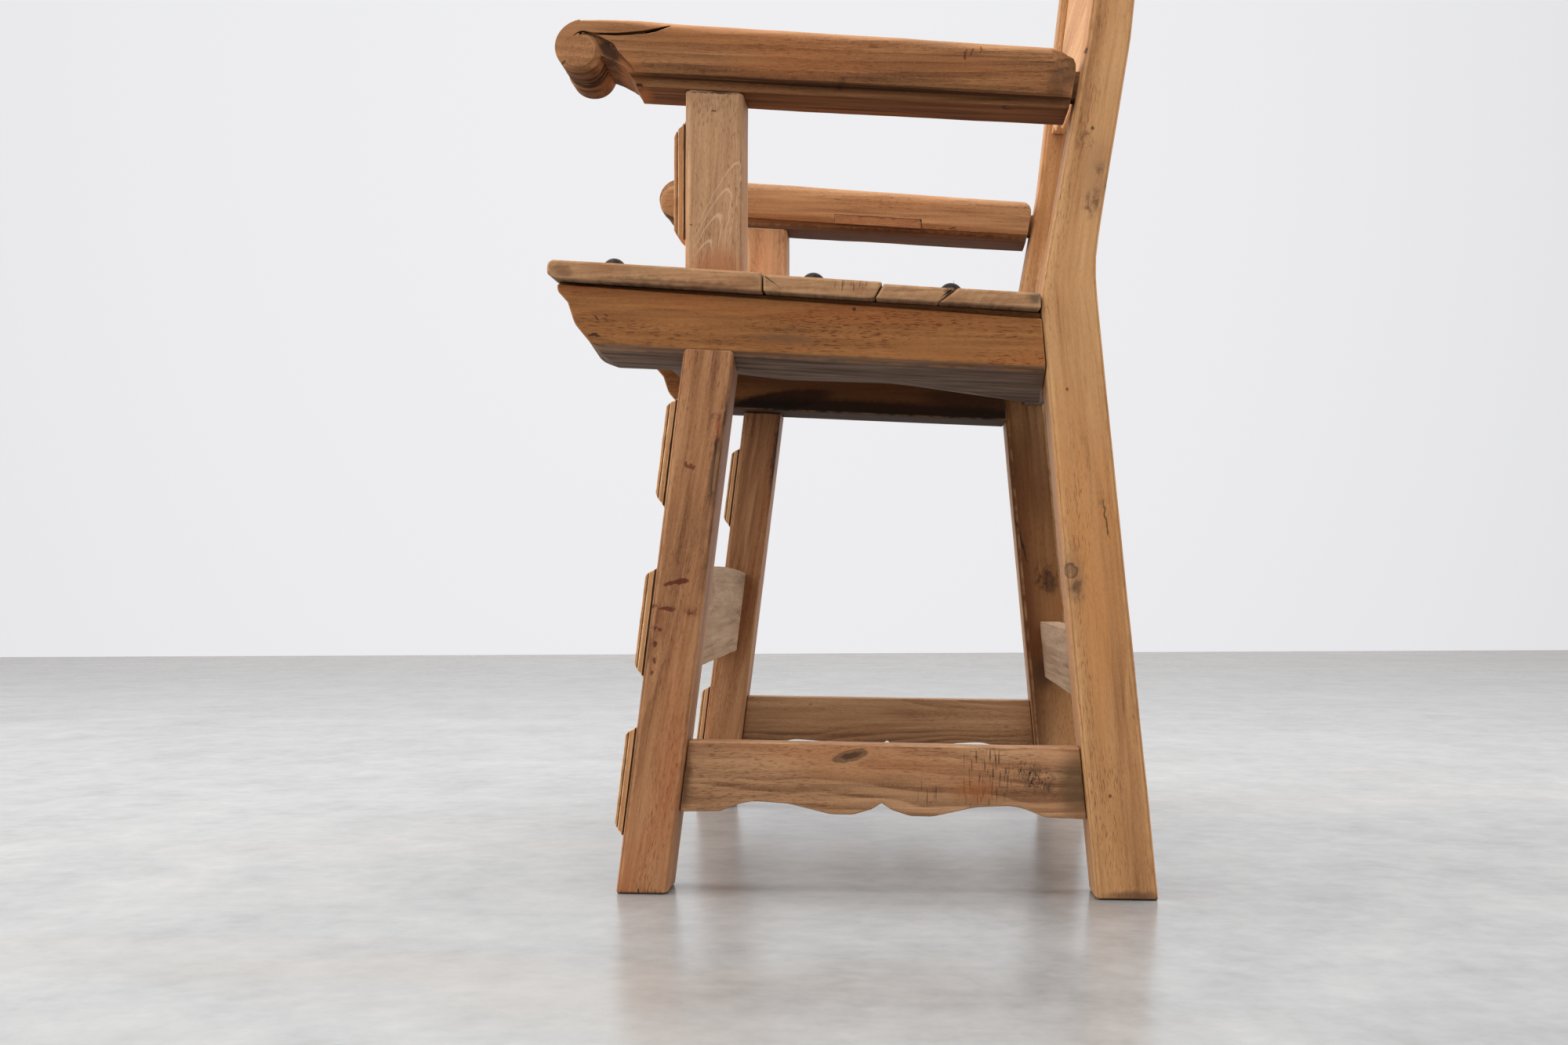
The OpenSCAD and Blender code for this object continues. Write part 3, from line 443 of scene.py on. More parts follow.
@dataclass(frozen=True)
class WoodFinish:
    """Colours and figure of a sanded and oiled wood."""

    light: Colour
    mid: Colour
    dark: Colour
    flush: Colour
    ring: float = 0.0065
    figure: float = 0.17
    streak: float = 1.1
    fibre: float = 0.62
    veins: float = 0.14
    pores: float = 0.5
    warmth: float = 0.55
    rough: float = 0.5
    gloss: float = 0.22
    # Paling of the rounded corners: rubbed wood and a painted highlight.
    edge_light: float = 0.35
    weathered: float = 0.6
    # Share of painted light: surfaces that face up are paled towards the light colour.
    top_wear: float = 0.12
    # Underside share and its two colours: painted shade on faces that look down, mixed with the
    # grey of weathered soffits.
    under: float = 0.0
    under_deep: Colour = (0.06, 0.04, 0.033, 1.0)
    under_pale: Colour = (0.18, 0.13, 0.1, 1.0)
    ruffle: float = 0.005
    relief: float = 0.00025
    # Reach and colour of the darkening in joints and hollows: grime and painted shade.
    dirt_reach: float = 0.0045
    dirt: Colour = paint(44, 27, 18)
    pore_shade: Colour = paint(150, 112, 92)

    def make(self, name: str, cut: Cut, centre: Vector) -> bpy.types.Material:
        """Make the material of one piece.

        Args:
            name: Name of the piece.
            cut: How the piece was sawn.
            centre: Middle of the piece.

        Returns:
            The material.
        """
        maker = NodeMaker(bpy.data.materials.new(name + "_wood"))
        place = maker.place()
        heart = tuple(centre + Vector(cut.pith) + Vector(cut.grain).normalized() * cut.shift)
        local = maker.local(cut.straighten(maker, place), heart, tuple(cut.turn()))
        tone, late = self.grow(maker, local, cut)
        colour = maker.ramp(tone, 0.38, self.dark, self.mid, self.light)
        warm = maker.cloud(local, (3.2, 24, 24), 3.0).rise(0.48, 0.68)
        colour = maker.mix(warm * self.warmth, colour, self.flush)
        fine = maker.cloud(local, (260, 2600, 2600), 0.0).rise(0.55, 0.75)
        zones = maker.cloud(local, (7, 48, 48), 2.0).rise(0.36, 0.62)
        dash = maker.cloud(local, (170, 1500, 1500), 0.0).rise(0.6, 0.7) * zones
        pores = (fine * 0.35 + dash).least(1.0) * self.pores
        colour = maker.tint(pores, colour, self.pore_shade)
        grain = maker.cloud(place, (620, 620, 620), 1.0)
        colour = maker.mix((grain - 0.5).most(0.0) * 0.5, colour, self.light)
        below = maker.faces((0, 0, -1)).rise(0.45, 0.85)
        colour = self.weather(maker, local, colour, below, cut.grain)
        depth = maker.cloud(local, (16, 620, 620), 3.0, 0.6) * 0.3 - pores * 0.9 - late * 0.08
        shake = (maker.cloud(place, (160, 160, 160), 2.0) - 0.5) * self.ruffle
        ruffled = maker.vector("ADD", place, maker.join(0.0, shake, shake))
        for mark in cut.marks:
            colour, depth = mark.lay(maker, place, ruffled, colour, depth)
        return maker.solid(
            Base_Color=self.wear(maker, colour),
            Roughness=pores * 0.2 + self.rough + below * 0.25,
            Normal=maker.bump(depth, self.relief),
            Specular_IOR_Level=self.gloss,
        )

    def grow(self, maker: NodeMaker, local: Sock, cut: Cut) -> tuple[Sock, Sock]:
        """Lay out the growth of the tree along a piece.

        Args:
            maker: Builder of the material.
            local: Point with X along the fibres and the pith on that axis.
            cut: How the piece was sawn.

        Returns:
            The tone, around 0.5, and the late wood of the rings.
        """
        sway = maker.cloud(local, (2.6, 11, 11), 3.0)
        radius = maker.length(maker.vector("MULTIPLY", local, (0, 1, 1)))
        radius = radius + (sway - 0.5) * cut.sway
        ring = (radius / self.ring).fraction()
        late = ring.rise(0.1, 0.86) * (1.0 - ring.rise(0.9, 1.0))
        clear = maker.cloud(local, (4, 32, 32), 1.0).rise(0.36, 0.6)
        streak = maker.cloud(local, (2.4, 36, 36), 4.0, 0.6)
        fibre = maker.cloud(local, (11, 300, 300), 3.0, 0.65)
        vein = maker.cloud(local, (4.5, 120, 120), 2.0, 0.55)
        hair = (1.0 - abs(vein - 0.5).rise(0.0, 0.024)) * clear
        tone = (streak - 0.5) * self.streak + 0.5 + (fibre - 0.5) * self.fibre - hair * self.veins
        return tone - (late * clear - 0.2) * self.figure, late

    def weather(
        self, maker: NodeMaker, local: Sock, colour: Sock, below: Sock, grain: Triple
    ) -> Sock:
        """Dull the end grain, pale the top with painted light, and darken the underside with
        painted shade over its grey weathering.

        Args:
            maker: Builder of the material.
            local: Point with X along the fibres.
            colour: Colour of the wood so far.
            below: Share of the underside, 0 to 1.
            grain: Direction of the fibres.

        Returns:
            The weathered colour, with painted light and shade.
        """
        end = abs(maker.faces(grain)).rise(0.72, 0.95)
        lines = maker.cloud(maker.place(), (40, 26, 380), 3.0, 0.6).rise(0.22, 0.78)
        dull = maker.mix(lines, maker.mix(0.5, self.dark, self.mid), self.light)
        colour = maker.mix(end * self.weathered, colour, dull)
        # Painted light: faces that look up are paled, as if lit from above.
        above = maker.faces((0, 0, 1)).rise(0.2, 0.9)
        colour = maker.mix(above * self.top_wear, colour, self.light)
        if not self.under:
            return colour
        # Painted shade: faces that look down take darker colours, banded like grey weathered wood.
        bands = maker.cloud(local, (6, 210, 210), 3.0, 0.6).rise(0.35, 0.65)
        shade = maker.mix(bands, self.under_deep, self.under_pale)
        return maker.mix(below * self.under, colour, shade)

    def wear(self, maker: NodeMaker, colour: Sock) -> Sock:
        """Pale the rounded corners, rubbed and with a painted highlight, and darken the joints and
        hollows with grime and painted shade.

        Args:
            maker: Builder of the material.
            colour: Colour of the wood so far.

        Returns:
            The colour with its pale corners and darkened hollows.
        """
        # Rounded corners paled towards the light colour: rubbed wood and a painted highlight.
        worn = maker.add("Attribute", {}, "Fac", attribute_name="edge")
        worn = worn * maker.cloud(maker.place(), (70, 70, 70), 2.0).rise(0.3, 0.65)
        colour = maker.mix(worn * self.edge_light, colour, self.light)
        # Painted shade and grime: darker wherever ambient occlusion finds another surface within a
        # few millimetres.
        near = maker.add("AmbientOcclusion", {"Distance": self.dirt_reach}, "AO", samples=6)
        return maker.mix((1.0 - near.rise(0.1, 0.6)) * 0.85, colour, self.dirt)


@dataclass(frozen=True)
class IronFinish:
    """Dark forged iron with a little rust."""

    steel: Colour = (0.045, 0.042, 0.042, 1.0)
    rust: Colour = (0.085, 0.04, 0.022, 1.0)
    relief: float = 0.0006

    def make(self, name: str) -> bpy.types.Material:
        """Make the material of a piece of iron.

        Args:
            name: Name of the piece.

        Returns:
            The material.
        """
        maker = NodeMaker(bpy.data.materials.new(name + "_iron"))
        place = maker.place()
        broad = maker.cloud(place, (240, 240, 240), 4.0, 0.6)
        fine = maker.cloud(place, (1400, 1400, 1400), 2.0)
        rusty = broad.rise(0.48, 0.66)
        return maker.solid(
            Base_Color=maker.mix(rusty, self.steel, self.rust),
            Metallic=0.75 - rusty * 0.5,
            Roughness=rusty * 0.3 + 0.42,
            Normal=maker.bump(broad + fine * 0.3, self.relief),
        )


@dataclass(frozen=True)
class Cut:
    """How one piece was sawn, and how far use has rounded it."""

    grain: Triple
    pith: Triple
    shift: float = 0.0
    sway: float = 0.03
    edge: float = 0.0016
    pitch: float = 0.014
    wander: float = 0.00035
    carved: float = 0.0
    bend: Triple = (0.0, 0.0, 0.0)
    marks: tuple[Mark, ...] = ()

    def turn(self) -> Euler:
        """Lay the X axis along the fibres.

        Returns:
            The Euler angles of the turn.
        """
        along = Vector(self.grain).normalized()
        side = along.cross(Vector((0.31, 0.87, 0.38))).normalized()
        up = along.cross(side)
        return Matrix((along, side, up)).transposed().to_euler()

    def straighten(self, maker: NodeMaker, place: Sock) -> Sock:
        """Undo the bend of a bent piece, so that its fibres follow it.

        Args:
            maker: Builder of the material.
            place: Point of the surface.

        Returns:
            The point as if the piece were straight.
        """
        height, below, above = self.bend
        if not height:
            return place
        rise = maker.part(place, 2) - height
        slide = rise.most(0.0) * -above - rise.least(0.0) * below
        return maker.vector("ADD", place, maker.join(0.0, slide, 0.0))


@dataclass
class Bench:
    """The workbench: makes the worn copy of a modelled piece."""

    body: str = "root"
    crisp: float = math.radians(27)
    flat: float = math.radians(0.8)
    creased: float = math.radians(38)
    segments: int = 3
    join: float = 0.00001
    hair: float = 0.000001
    long_wave: float = 0.085
    short_wave: float = 0.021
    short_share: float = 0.35
    foot: float = 0.001
    quick_coarser: float = 1.6
    wear_gain: float = 5.0
    wear_start: float = 0.25

    def copy(self, node: str) -> bmesh.types.BMesh:
        """Copy a modelled piece and join its loose triangles.

        Args:
            node: Name of the modelled piece.

        Returns:
            Its closed mesh, with flat faces in one piece.
        """
        work = bmesh.new()
        work.from_mesh(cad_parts[node].data)
        bmesh.ops.remove_doubles(work, verts=work.verts[:], dist=self.join)
        bmesh.ops.dissolve_limit(
            work, angle_limit=self.flat, verts=work.verts[:], edges=work.edges[:]
        )
        return work

    def soften(self, work: bmesh.types.BMesh, cut: Cut) -> None:
        """Round the corners and cut the long faces into short lengths.

        Args:
            work: Mesh of the piece.
            cut: How it was sawn.
        """
        layer = work.faces.layers.float.new("edge")
        corners = [
            e for e in work.edges if e.is_manifold and e.calc_face_angle_signed(0.0) > self.crisp
        ]
        made = bmesh.ops.bevel(
            work, geom=corners, offset=cut.edge, offset_type="OFFSET", segments=self.segments,
            profile=0.5, affect="EDGES", clamp_overlap=False, material=-1, loop_slide=True,
        )
        for face in made["faces"]:
            face[layer] = 1.0
        low = Vector([min(v.co[i] for v in work.verts) for i in range(3)])
        high = Vector([max(v.co[i] for v in work.verts) for i in range(3)])
        for axis in range(3):
            count = int((high[axis] - low[axis]) / cut.pitch)
            normal = Vector([1.0 if i == axis else 0.0 for i in range(3)])
            for step in range(1, count):
                spot = low + normal * ((high[axis] - low[axis]) * step / count)
                self.slice(work, spot, normal)

    def slice(self, work: bmesh.types.BMesh, spot: Vector | Triple, way: Vector | Triple) -> None:
        """Cut the faces of a mesh along a plane.

        Args:
            work: The mesh.
            spot: A point of the plane.
            way: The plane's normal.
        """
        geometry = work.verts[:] + work.edges[:] + work.faces[:]
        bmesh.ops.bisect_plane(work, geom=geometry, dist=self.hair, plane_co=spot, plane_no=way)

    def roughen(self, verts: bmesh.types.BMVertSeq, cut: Cut) -> None:
        """Let the surface wander as a hand tool leaves it.

        Args:
            verts: Vertices of the piece.
            cut: How it was sawn.
        """
        seed = Vector((cut.shift * 7.3, cut.shift * 3.1, cut.shift * 5.7))
        for vert in verts:
            long_wave = noise.noise_vector(vert.co / self.long_wave + seed)
            short_wave = noise.noise_vector(vert.co / self.short_wave - seed)
            move = long_wave * cut.wander + short_wave * cut.wander * self.short_share
            if vert.co.z < self.foot:
                move.z = 0.0
            vert.co += move
            vert.co.z = max(vert.co.z, 0.0)

    def carve(self, node: str, cut: Cut) -> bpy.types.Mesh:
        """Make the soft closed skin of a carved piece.

        Args:
            node: Name of the modelled piece.
            cut: How it was sawn, with the skin's cell in carved.

        Returns:
            The mesh, with an attribute that is 1 on its corners.
        """
        work = self.copy(node)
        mesh = bpy.data.meshes.new(node + "_skin")
        work.to_mesh(mesh)
        work.free()
        helper = stand(node + "_skin", mesh)
        remesh = helper.modifiers.new("skin", "REMESH")
        remesh.mode = "VOXEL"
        remesh.voxel_size = cut.carved * 1.0
        smooth = helper.modifiers.new("rub", "SMOOTH")
        smooth.factor = 0.5
        smooth.iterations = 3
        bpy.context.view_layer.update()
        graph = bpy.context.evaluated_depsgraph_get()
        skin = bpy.data.meshes.new_from_object(helper.evaluated_get(graph))
        bpy.data.objects.remove(helper)
        bpy.data.meshes.remove(mesh)
        work = bmesh.new()
        work.from_mesh(skin)
        work.normal_update()
        layer = work.verts.layers.float.new("edge")
        for vert in work.verts:
            around = [(vert.co - e.other_vert(vert).co).normalized() for e in vert.link_edges]
            bend = sum(vert.normal.dot(way) for way in around) / max(len(around), 1)
            vert[layer] = min(max(bend * self.wear_gain - self.wear_start, 0.0), 1.0)
        self.roughen(work.verts, cut)
        for face in work.faces:
            face.smooth = True
        work.to_mesh(skin)
        work.free()
        return skin

    def hew(self, node: str, cut: Cut, pare: Shaper | None) -> bpy.types.Mesh:
        """Make the worn mesh of a sawn piece.

        Args:
            node: Name of the modelled piece.
            cut: How it was sawn.
            pare: Further shaping by hand.

        Returns:
            The mesh, with an attribute that is 1 on its rounded corners.
        """
        work = self.copy(node)
        self.soften(work, cut)
        if pare:
            pare(work)
        self.roughen(work.verts, cut)
        work.normal_update()
        for face in work.faces:
            face.smooth = True
        for edge in work.edges:
            if edge.is_manifold and edge.calc_face_angle(0.0) > self.creased:
                edge.smooth = False
        mesh = bpy.data.meshes.new(node + "_worn")
        work.to_mesh(mesh)
        work.free()
        return mesh

    def finish(
        self,
        node: str,
        cut: Cut,
        finish: WoodFinish | IronFinish,
        slot: str,
        pare: Shaper | None = None,
    ) -> bpy.types.Object:
        """Put a worn and finished piece in the place of a modelled one.

        Args:
            node: Name of the modelled piece.
            cut: How it was sawn.
            finish: Its finish.
            slot: Name of a material slot, which is only written to the log.
            pare: Further shaping by hand.

        Returns:
            The new piece.
        """
        mesh = self.carve(node, cut) if cut.carved else self.hew(node, cut, pare)
        low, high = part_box(node)
        if isinstance(finish, WoodFinish):
            mesh.materials.append(finish.make(node, cut, (low + high) / 2))
        else:
            mesh.materials.append(finish.make(node))
        piece = stand(node + "_worn", mesh)
        if not cut.carved:
            weigh = piece.modifiers.new("even_light", "WEIGHTED_NORMAL")
            weigh.keep_sharp = True
        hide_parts(node)
        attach(piece, self.body)
        log.info("%s: %d faces, slot %s", piece.name, len(mesh.polygons), slot)
        return piece


def wood(*colours: tuple[int, int, int], **more: float | Colour) -> WoodFinish:
    """Make a wood finish.

    Args:
        colours: Its light, middle, dark and flushed colours as they are seen on a screen.
        more: Its other fields.

    Returns:
        The finish.
    """
    return WoodFinish(*(paint(*colour) for colour in colours), **more)


HONEY = wood((218, 170, 118), (194, 142, 94), (142, 94, 56), (198, 133, 76))
ROSY = wood((212, 168, 124), (180, 136, 94), (126, 82, 48), (178, 118, 68), gloss=0.12)
TAN = wood((204, 154, 110), (165, 115, 77), (106, 66, 42), (168, 98, 58), streak=1.25)
OAT = wood(
    (222, 178, 136), (191, 147, 108), (142, 101, 71), (190, 129, 86), figure=0.1, veins=0.06
)
SPAN = wood(
    (214, 168, 126), (177, 132, 94), (122, 84, 57), (178, 118, 76), figure=0.26, ring=0.005
)
# The near armrest: strong painted light on its top and painted shade on its undersides.
WARM = wood(
    (198, 146, 100), (152, 104, 66), (92, 58, 37), (160, 98, 56),
    figure=0.2, gloss=0.14, top_wear=0.5, under=0.85, under_deep=paint(62, 40, 26),
    under_pale=paint(120, 82, 54),
)
FAWN = wood(
    (200, 156, 112), (162, 118, 80), (118, 78, 48), (168, 112, 68),
    figure=0.08, streak=0.8, under=0.85, under_deep=paint(52, 32, 22),
    under_pale=paint(92, 60, 40),
)
RAIL = wood(
    (190, 134, 79), (156, 102, 57), (106, 66, 37), (164, 92, 45),
    streak=0.85, veins=0.08, pores=0.75, under=0.92, under_deep=paint(68, 56, 49),
    under_pale=paint(124, 106, 93),
)
# The far rail, whose undersides carry a darker painted shade beneath the seat.
DARK_RAIL = replace(RAIL, under_deep=paint(30, 20, 15), under_pale=paint(62, 42, 30))
PATCH = replace(FAWN, light=paint(176, 126, 86), mid=paint(146, 98, 64), dark=paint(110, 70, 44))
BOARD = wood(
    (204, 161, 119), (166, 120, 82), (100, 67, 43), (166, 107, 66), under=0.5, weathered=0.55
)
PALE = wood(
    (212, 184, 156), (182, 150, 120), (134, 104, 80), (176, 136, 102), warmth=0.3, rough=0.7
)
# Blocks: their corners strongly paled, as rubbed wood and a painted highlight.
BLOCK = wood(
    (240, 194, 144), (196, 144, 98), (132, 88, 56), (192, 126, 78),
    edge_light=0.9, streak=0.7, pores=0.3,
)


MAROON, SOOT, GREY, SMOKE = (94, 42, 24), (52, 34, 26), (92, 68, 50), (82, 56, 42)
BLACK, BROWN = (38, 22, 14), (64, 38, 25)

# Dashes, dots and a long dark streak of the near front leg.
NEAR_LEG_MARKS = place_marks(
    (STAIN, -115.8, 324, 10, 5.2, 33, -5, (86, 62, 46), 0.75),
    (STAIN, -113.5, 348, 10, 2.2, 20, -9, SOOT, 0.9),
    (STAIN, -106.5, 370, 10, 2, 17, -12, SOOT),
    (STAIN, -112.2, 361, 10, 2.6, 15, -8, (150, 74, 44), 0.7),
    (CHECK, -115, 325, 10, 1.2, 27, -10, (72, 44, 32)),
    (SMUDGE, -121, 270, 10, 6, 50, -6, (96, 62, 44), 0.6),
    (SMUDGE, -114.1, 367.6, 10, 7, 5, 25, SOOT, 1.0),
    (CHECK, -137.2, 330.3, 8, 1.4, 3.4, 20, MAROON),
    (CHECK, -134.2, 329, 8, 2, 3, -20, MAROON),
    (CHECK, -131.6, 328.4, 8, 1.4, 2.6, -30, MAROON),
    (CHECK, -143.6, 393.4, 8, 0.9, 4, -6),
    (CHECK, -141, 240.3, 8, 7.5, 2.7, 4, MAROON, 0.95),
    (CHECK, -149, 238.8, 8, 6.5, 1.9, 4, MAROON, 0.9),
    (CHECK, -152, 219.2, 8, 8.5, 2.1, -3, MAROON, 0.9),
    (CHECK, -162, 221.7, 8, 3.6, 2, 0, MAROON, 0.9),
    (SMUDGE, -132.2, 218.5, 8, 8, 7.5, 25, MAROON, 1.0),
    (CHECK, -162.5, 204, 8, 2.4, 2.4, 0, MAROON, 0.9),
    (CHECK, -158, 202.6, 8, 2.2, 1.8, 0, MAROON, 0.9),
    (CHECK, -161.2, 192.2, 8, 2.2, 3, 0, MAROON, 0.9),
    (CHECK, -162, 178.8, 8, 1.6, 3.6, -8, MAROON, 0.85),
    (CHECK, -163.8, 170, 8, 1.3, 2.6, -8, MAROON),
    (SMUDGE, -159, 212, 8, 12, 26, -8, (120, 66, 42), 0.5),
    (SCRATCHES, -174, 1, 12, 20, 5, 0, SOOT, 0.9),
    across=275,
)
# Knot, check, scuffs and spots of the near back post.
NEAR_POST_MARKS = place_marks(
    (STAIN, 158.5, 244, 10, 13, 30, 8, (150, 112, 78), 0.6),
    (KNOT, 157.2, 248.6, 10, 6, 6.4, 0, GREY, 0.85),
    (SMUDGE, 161.5, 234.5, 10, 8, 13, 10, GREY),
    (SMUDGE, 160, 270, 10, 6, 11, 8, GREY, 0.6),
    (CHECK, 184, 288, 10, 0.9, 19, 10, (80, 52, 38)),
    (SMUDGE, 181.2, 300, 10, 5, 22, 10, GREY, 0.6),
    (SMUDGE, 170, 578, 12, 10, 12, 0, SMOKE, 0.9),
    (SMUDGE, 183, 549, 12, 7.5, 17, 12, SMOKE, 1.0),
    (SMUDGE, 175, 531, 12, 8, 17, -14, SMOKE, 1.0),
    (STAIN, 178, 552, 12, 15, 42, -6, (150, 108, 78), 0.45),
    (CHECK, 170.9, 647.5, 12, 1.8, 2.6),
    (CHECK, 175.5, 587.5, 12, 1.4, 2.2),
    (CHECK, 155.4, 387.2, 12, 1.2, 1.8, 0, (100, 56, 36)),
    (CHECK, 186.2, 78.8, 12, 1.4, 1.8, 0, (84, 52, 36)),
    (STAIN, 202, 3, 12, 30, 6, 0, (92, 66, 48), 0.7),
    across=275,
)
# Dark streak of the far front leg.
FAR_LEG_MARKS = place_marks(
    (STAIN, -227, -104, 380, 12, 6.2, 80, -7, (52, 38, 30), 0.9),
)
# Stains and a crack of the far back post, and broad brown darkening of its inner face: stain and
# painted shade.
FAR_POST_MARKS = place_marks(
    # Broad brown darkening: stain and painted shade on the inner face.
    (STAIN, -225, 170, 240, 12, 70, 230, 0, (124, 74, 38), 0.6),
    (STAIN, -227, 150, 230, 8, 30, 320, 6, (96, 56, 32), 0.75),
    (STAIN, -227, 172, 360, 8, 50, 80, 6, (96, 56, 32), 0.5),
    (SMUDGE, -227, 180, 245, 10, 20, 24, 20, (50, 34, 25), 0.9),
    (STAIN, -227, 185, 240, 10, 9, 18, 10, (70, 46, 32), 0.7),
    (CHECK, -227, 155, 283, 10, 1.5, 31, 14, (50, 34, 25)),
    (STAIN, -227, 177, 142.4, 12, 14, 24, 5, (92, 64, 46), 0.75),
)
# Checks, hollows darkened with grime and painted shade, a painted shadow line, and the hatched end
# of the near armrest.
NEAR_ARM_MARKS = place_marks(
    (STAIN, 287, -225, 660, 12, 35, 30, 0, (188, 134, 92), 0.45),
    (HATCH, 287, -220.4, 652.9, 6, 15, 15, 0, (112, 68, 42), 0.4),
    (STAIN, 260, -183, 633, 50, 20, 30, 0, (158, 102, 60), 0.85, 0.5),
    # Grime and painted shade in the dark hollow between the roll and the cheek.
    (STAIN, 260, -197.2, 653, 50, 16, 6.8, -42, BROWN, 0.95, 0.6),
    # Painted shade in the turned grooves of the roll.
    (RINGS, 253, -220.4, 652.9, 19, 24, 24, 0, BLACK, 0.85, 0.8, True),
    (STAIN, 275, 10, 614.3, 15, 400, 12.5, -4.2, (98, 56, 30), 0.35, 0.7),
    # Painted shadow: a dark line beneath the crown, where it overhangs the plain band.
    (STAIN, 280, -13.1, 623, 20, 240, 1.4, -4.2, BROWN, 0.7, 0.5, True),
    (STAIN, 245, -220.4, 652.9, 30, 21, 21, 0, BROWN, 0.4),
    (CHECK, 275, -83, 610.5, 20, 9, 1.5, 0, BLACK, 0.9),
    (FLECKS, 275, -84.8, 608, 20, 12, 5, 0, BLACK, 1.0),
    (SMUDGE, 280, -16.5, 623.3, 20, 6, 5, 0, BLACK, 1.0),
    (CHECK, 287, 78.5, 642.5, 20, 1.1, 5.2, -8, (92, 48, 30), 0.9),
    (CHECK, 287, 83, 644, 20, 0.9, 3.6, -8, (92, 48, 30), 0.7),
    (CHECK, 287, 90, 646.5, 20, 1, 4.4, -8, (110, 56, 34)),
    (STAIN, 284, 150, 621.5, 30, 13, 21, -14, (84, 56, 36), 0.6),
    (STAIN, 280, 163, 632, 30, 8, 30, 4, (98, 72, 46), 0.6),
    (STAIN, 275, 159, 599, 20, 6, 12, 0, BROWN, 0.6),
    (CHECK, 275, 110.3, 605.4, 20, 13, 1.1, -4, BLACK),
    (CHECK, 275, 47.1, 599.5, 20, 6, 1.8, 0, BLACK, 0.9),
    (CHECK, 275, -176.2, 628.1, 20, 6, 1.2, -8, BLACK, 0.9),
    (CHECK, 275, -169.5, 617.5, 20, 6.5, 1.4, -8, BLACK, 0.9),
)
# Cracks along the repair of the far armrest.
FAR_ARM_MARKS = place_marks(
    (CHECK, -212, 46.3, 615.3, 12, 4, 1.2, 0, (44, 28, 20), 0.9),
    (CHECK, -212, 83.5, 614.8, 12, 5, 1, 0, (44, 28, 20), 0.9),
    (STAIN, -220, 20, 608.5, 16, 320, 10.5, -4, (84, 52, 34), 0.8, 0.7),
)
# Arched figure and holes of the near arm post, and painted shadow at its joint beneath the armrest.
ARM_POST_MARKS = place_marks(
    (ARCH, -108.5, 535, 8, 18, 56, -20, (216, 182, 148), 0.6),
    (CHECK, -116.5, 606.4, 8, 2.6, 1.2),
    (CHECK, -133.5, 518.1, 8, 1.6, 0.9),
    # Painted shadow: a dark line and a soft smudge beneath the armrest, at the post's top.
    (STAIN, -114.7, 621.6, 8, 30, 2, -3, (48, 30, 20), 0.9),
    (SMUDGE, -114.7, 613, 8, 26, 8, 0, (128, 88, 62), 0.6),
    (STAIN, -112, 485, 8, 26, 22, 0, (168, 104, 68), 0.55),
    across=275,
)
# Cracks, an arched figure and a dot of the near side rail, and a painted shadow beneath the seat
# boards.
NEAR_RAIL_MARKS = place_marks(
    (CHECK, -208.4, 445.6, 8, 4.2, 0.9, -38, (48, 28, 18)),
    (CHECK, -200.6, 447.4, 8, 2.6, 0.8, -30, (48, 28, 18), 0.7),
    (CHECK, -209.2, 431.9, 8, 6.2, 1.4, -8, (48, 28, 18), 0.9),
    (ARCH, -178, 440, 8, 14, 30, 84, (126, 80, 52), 0.4),
    (CHECK, -6.9, 450.7, 8, 1.4, 2.2, 0, (48, 28, 18)),
    (STAIN, -60, 428, 12, 36, 6, -4, (116, 80, 54), 0.6),
    # Painted shadow: a dark strip along the rail's top, beneath the overhanging boards.
    (STAIN, -45, 466.5, 12, 340, 5, -4.2, (48, 28, 18), 0.8, 0.5),
    across=275,
)
# Dark, wavy lower part of the far side rail's inner face: a dark stain, deepened with painted shade
# beneath the seat.
FAR_RAIL_MARKS = place_marks(
    (STAIN, 30, 413, 12, 260, 20, -4, (26, 16, 11), 0.95, 0.55),
    (STAIN, -100, 430, 12, 70, 13, 8, (26, 16, 11), 0.9, 0.6),
    (STAIN, 120, 427, 12, 90, 18, -6, (26, 16, 11), 0.75, 0.5),
    (STAIN, 0, 445, 12, 300, 30, -4, (66, 36, 20), 0.7),
    across=-199,
)
# Smears and dark ends of the boards, from the front.
BOARD_MARKS = (
    place_marks(
        (STAIN, 286, -232, 480, 20, 12, 6, -20, (124, 90, 64), 0.7),
        (STAIN, 286, -150, 470, 14, 90, 4.5, -4, (106, 72, 48), 0.75),
    ),
    place_marks(
        (STAIN, 286, -60.7, 469.9, 14, 16, 4, -6, (176, 130, 96), 0.7),
        (SCRATCHES, 286, -10, 468, 14, 16, 8, 0, (62, 42, 32), 0.6),
    ),
    place_marks(
        (STAIN, 286, 66.3, 461.1, 14, 6, 6, 40, (62, 42, 32), 0.9),
    ),
    place_marks(
        (STAIN, 286, 133, 456, 14, 12, 7, 0, (90, 76, 58)),
    ),
)
# Knot, scratches and stains of the near side stretcher.
STRETCHER_MARKS = place_marks(
    (STAIN, -10, 105, 8, 21, 7, 14, (182, 138, 96), 0.7),
    (STAIN, -10.7, 106.2, 8, 14, 3.6, 14, (74, 50, 34), 0.95, 0.4),
    (KNOT, -10.7, 106.2, 8, 15, 4.6, 14, (84, 58, 40), 0.7),
    (SCRATCHES, 48, 79, 8, 11, 12, 0, (50, 34, 26), 0.75, 0.3, True),
    (SCRATCHES, 92, 90, 8, 26, 30, 0, (50, 34, 26), 0.75, 0.3, True),
    (FLECKS, 129, 92, 8, 24, 14, -34, (50, 34, 26), 1.0),
    (SMUDGE, 135, 88, 8, 24, 14, -30, (72, 54, 38)),
    (STAIN, 162, 85, 8, 20, 36, 0, (96, 74, 50), 0.75),
    (STAIN, 85, 80, 8, 24, 12, 0, (166, 98, 56), 0.5),
    (STAIN, -142, 90, 8, 12, 32, 0, (84, 56, 36), 0.75),
    across=263.5,
)


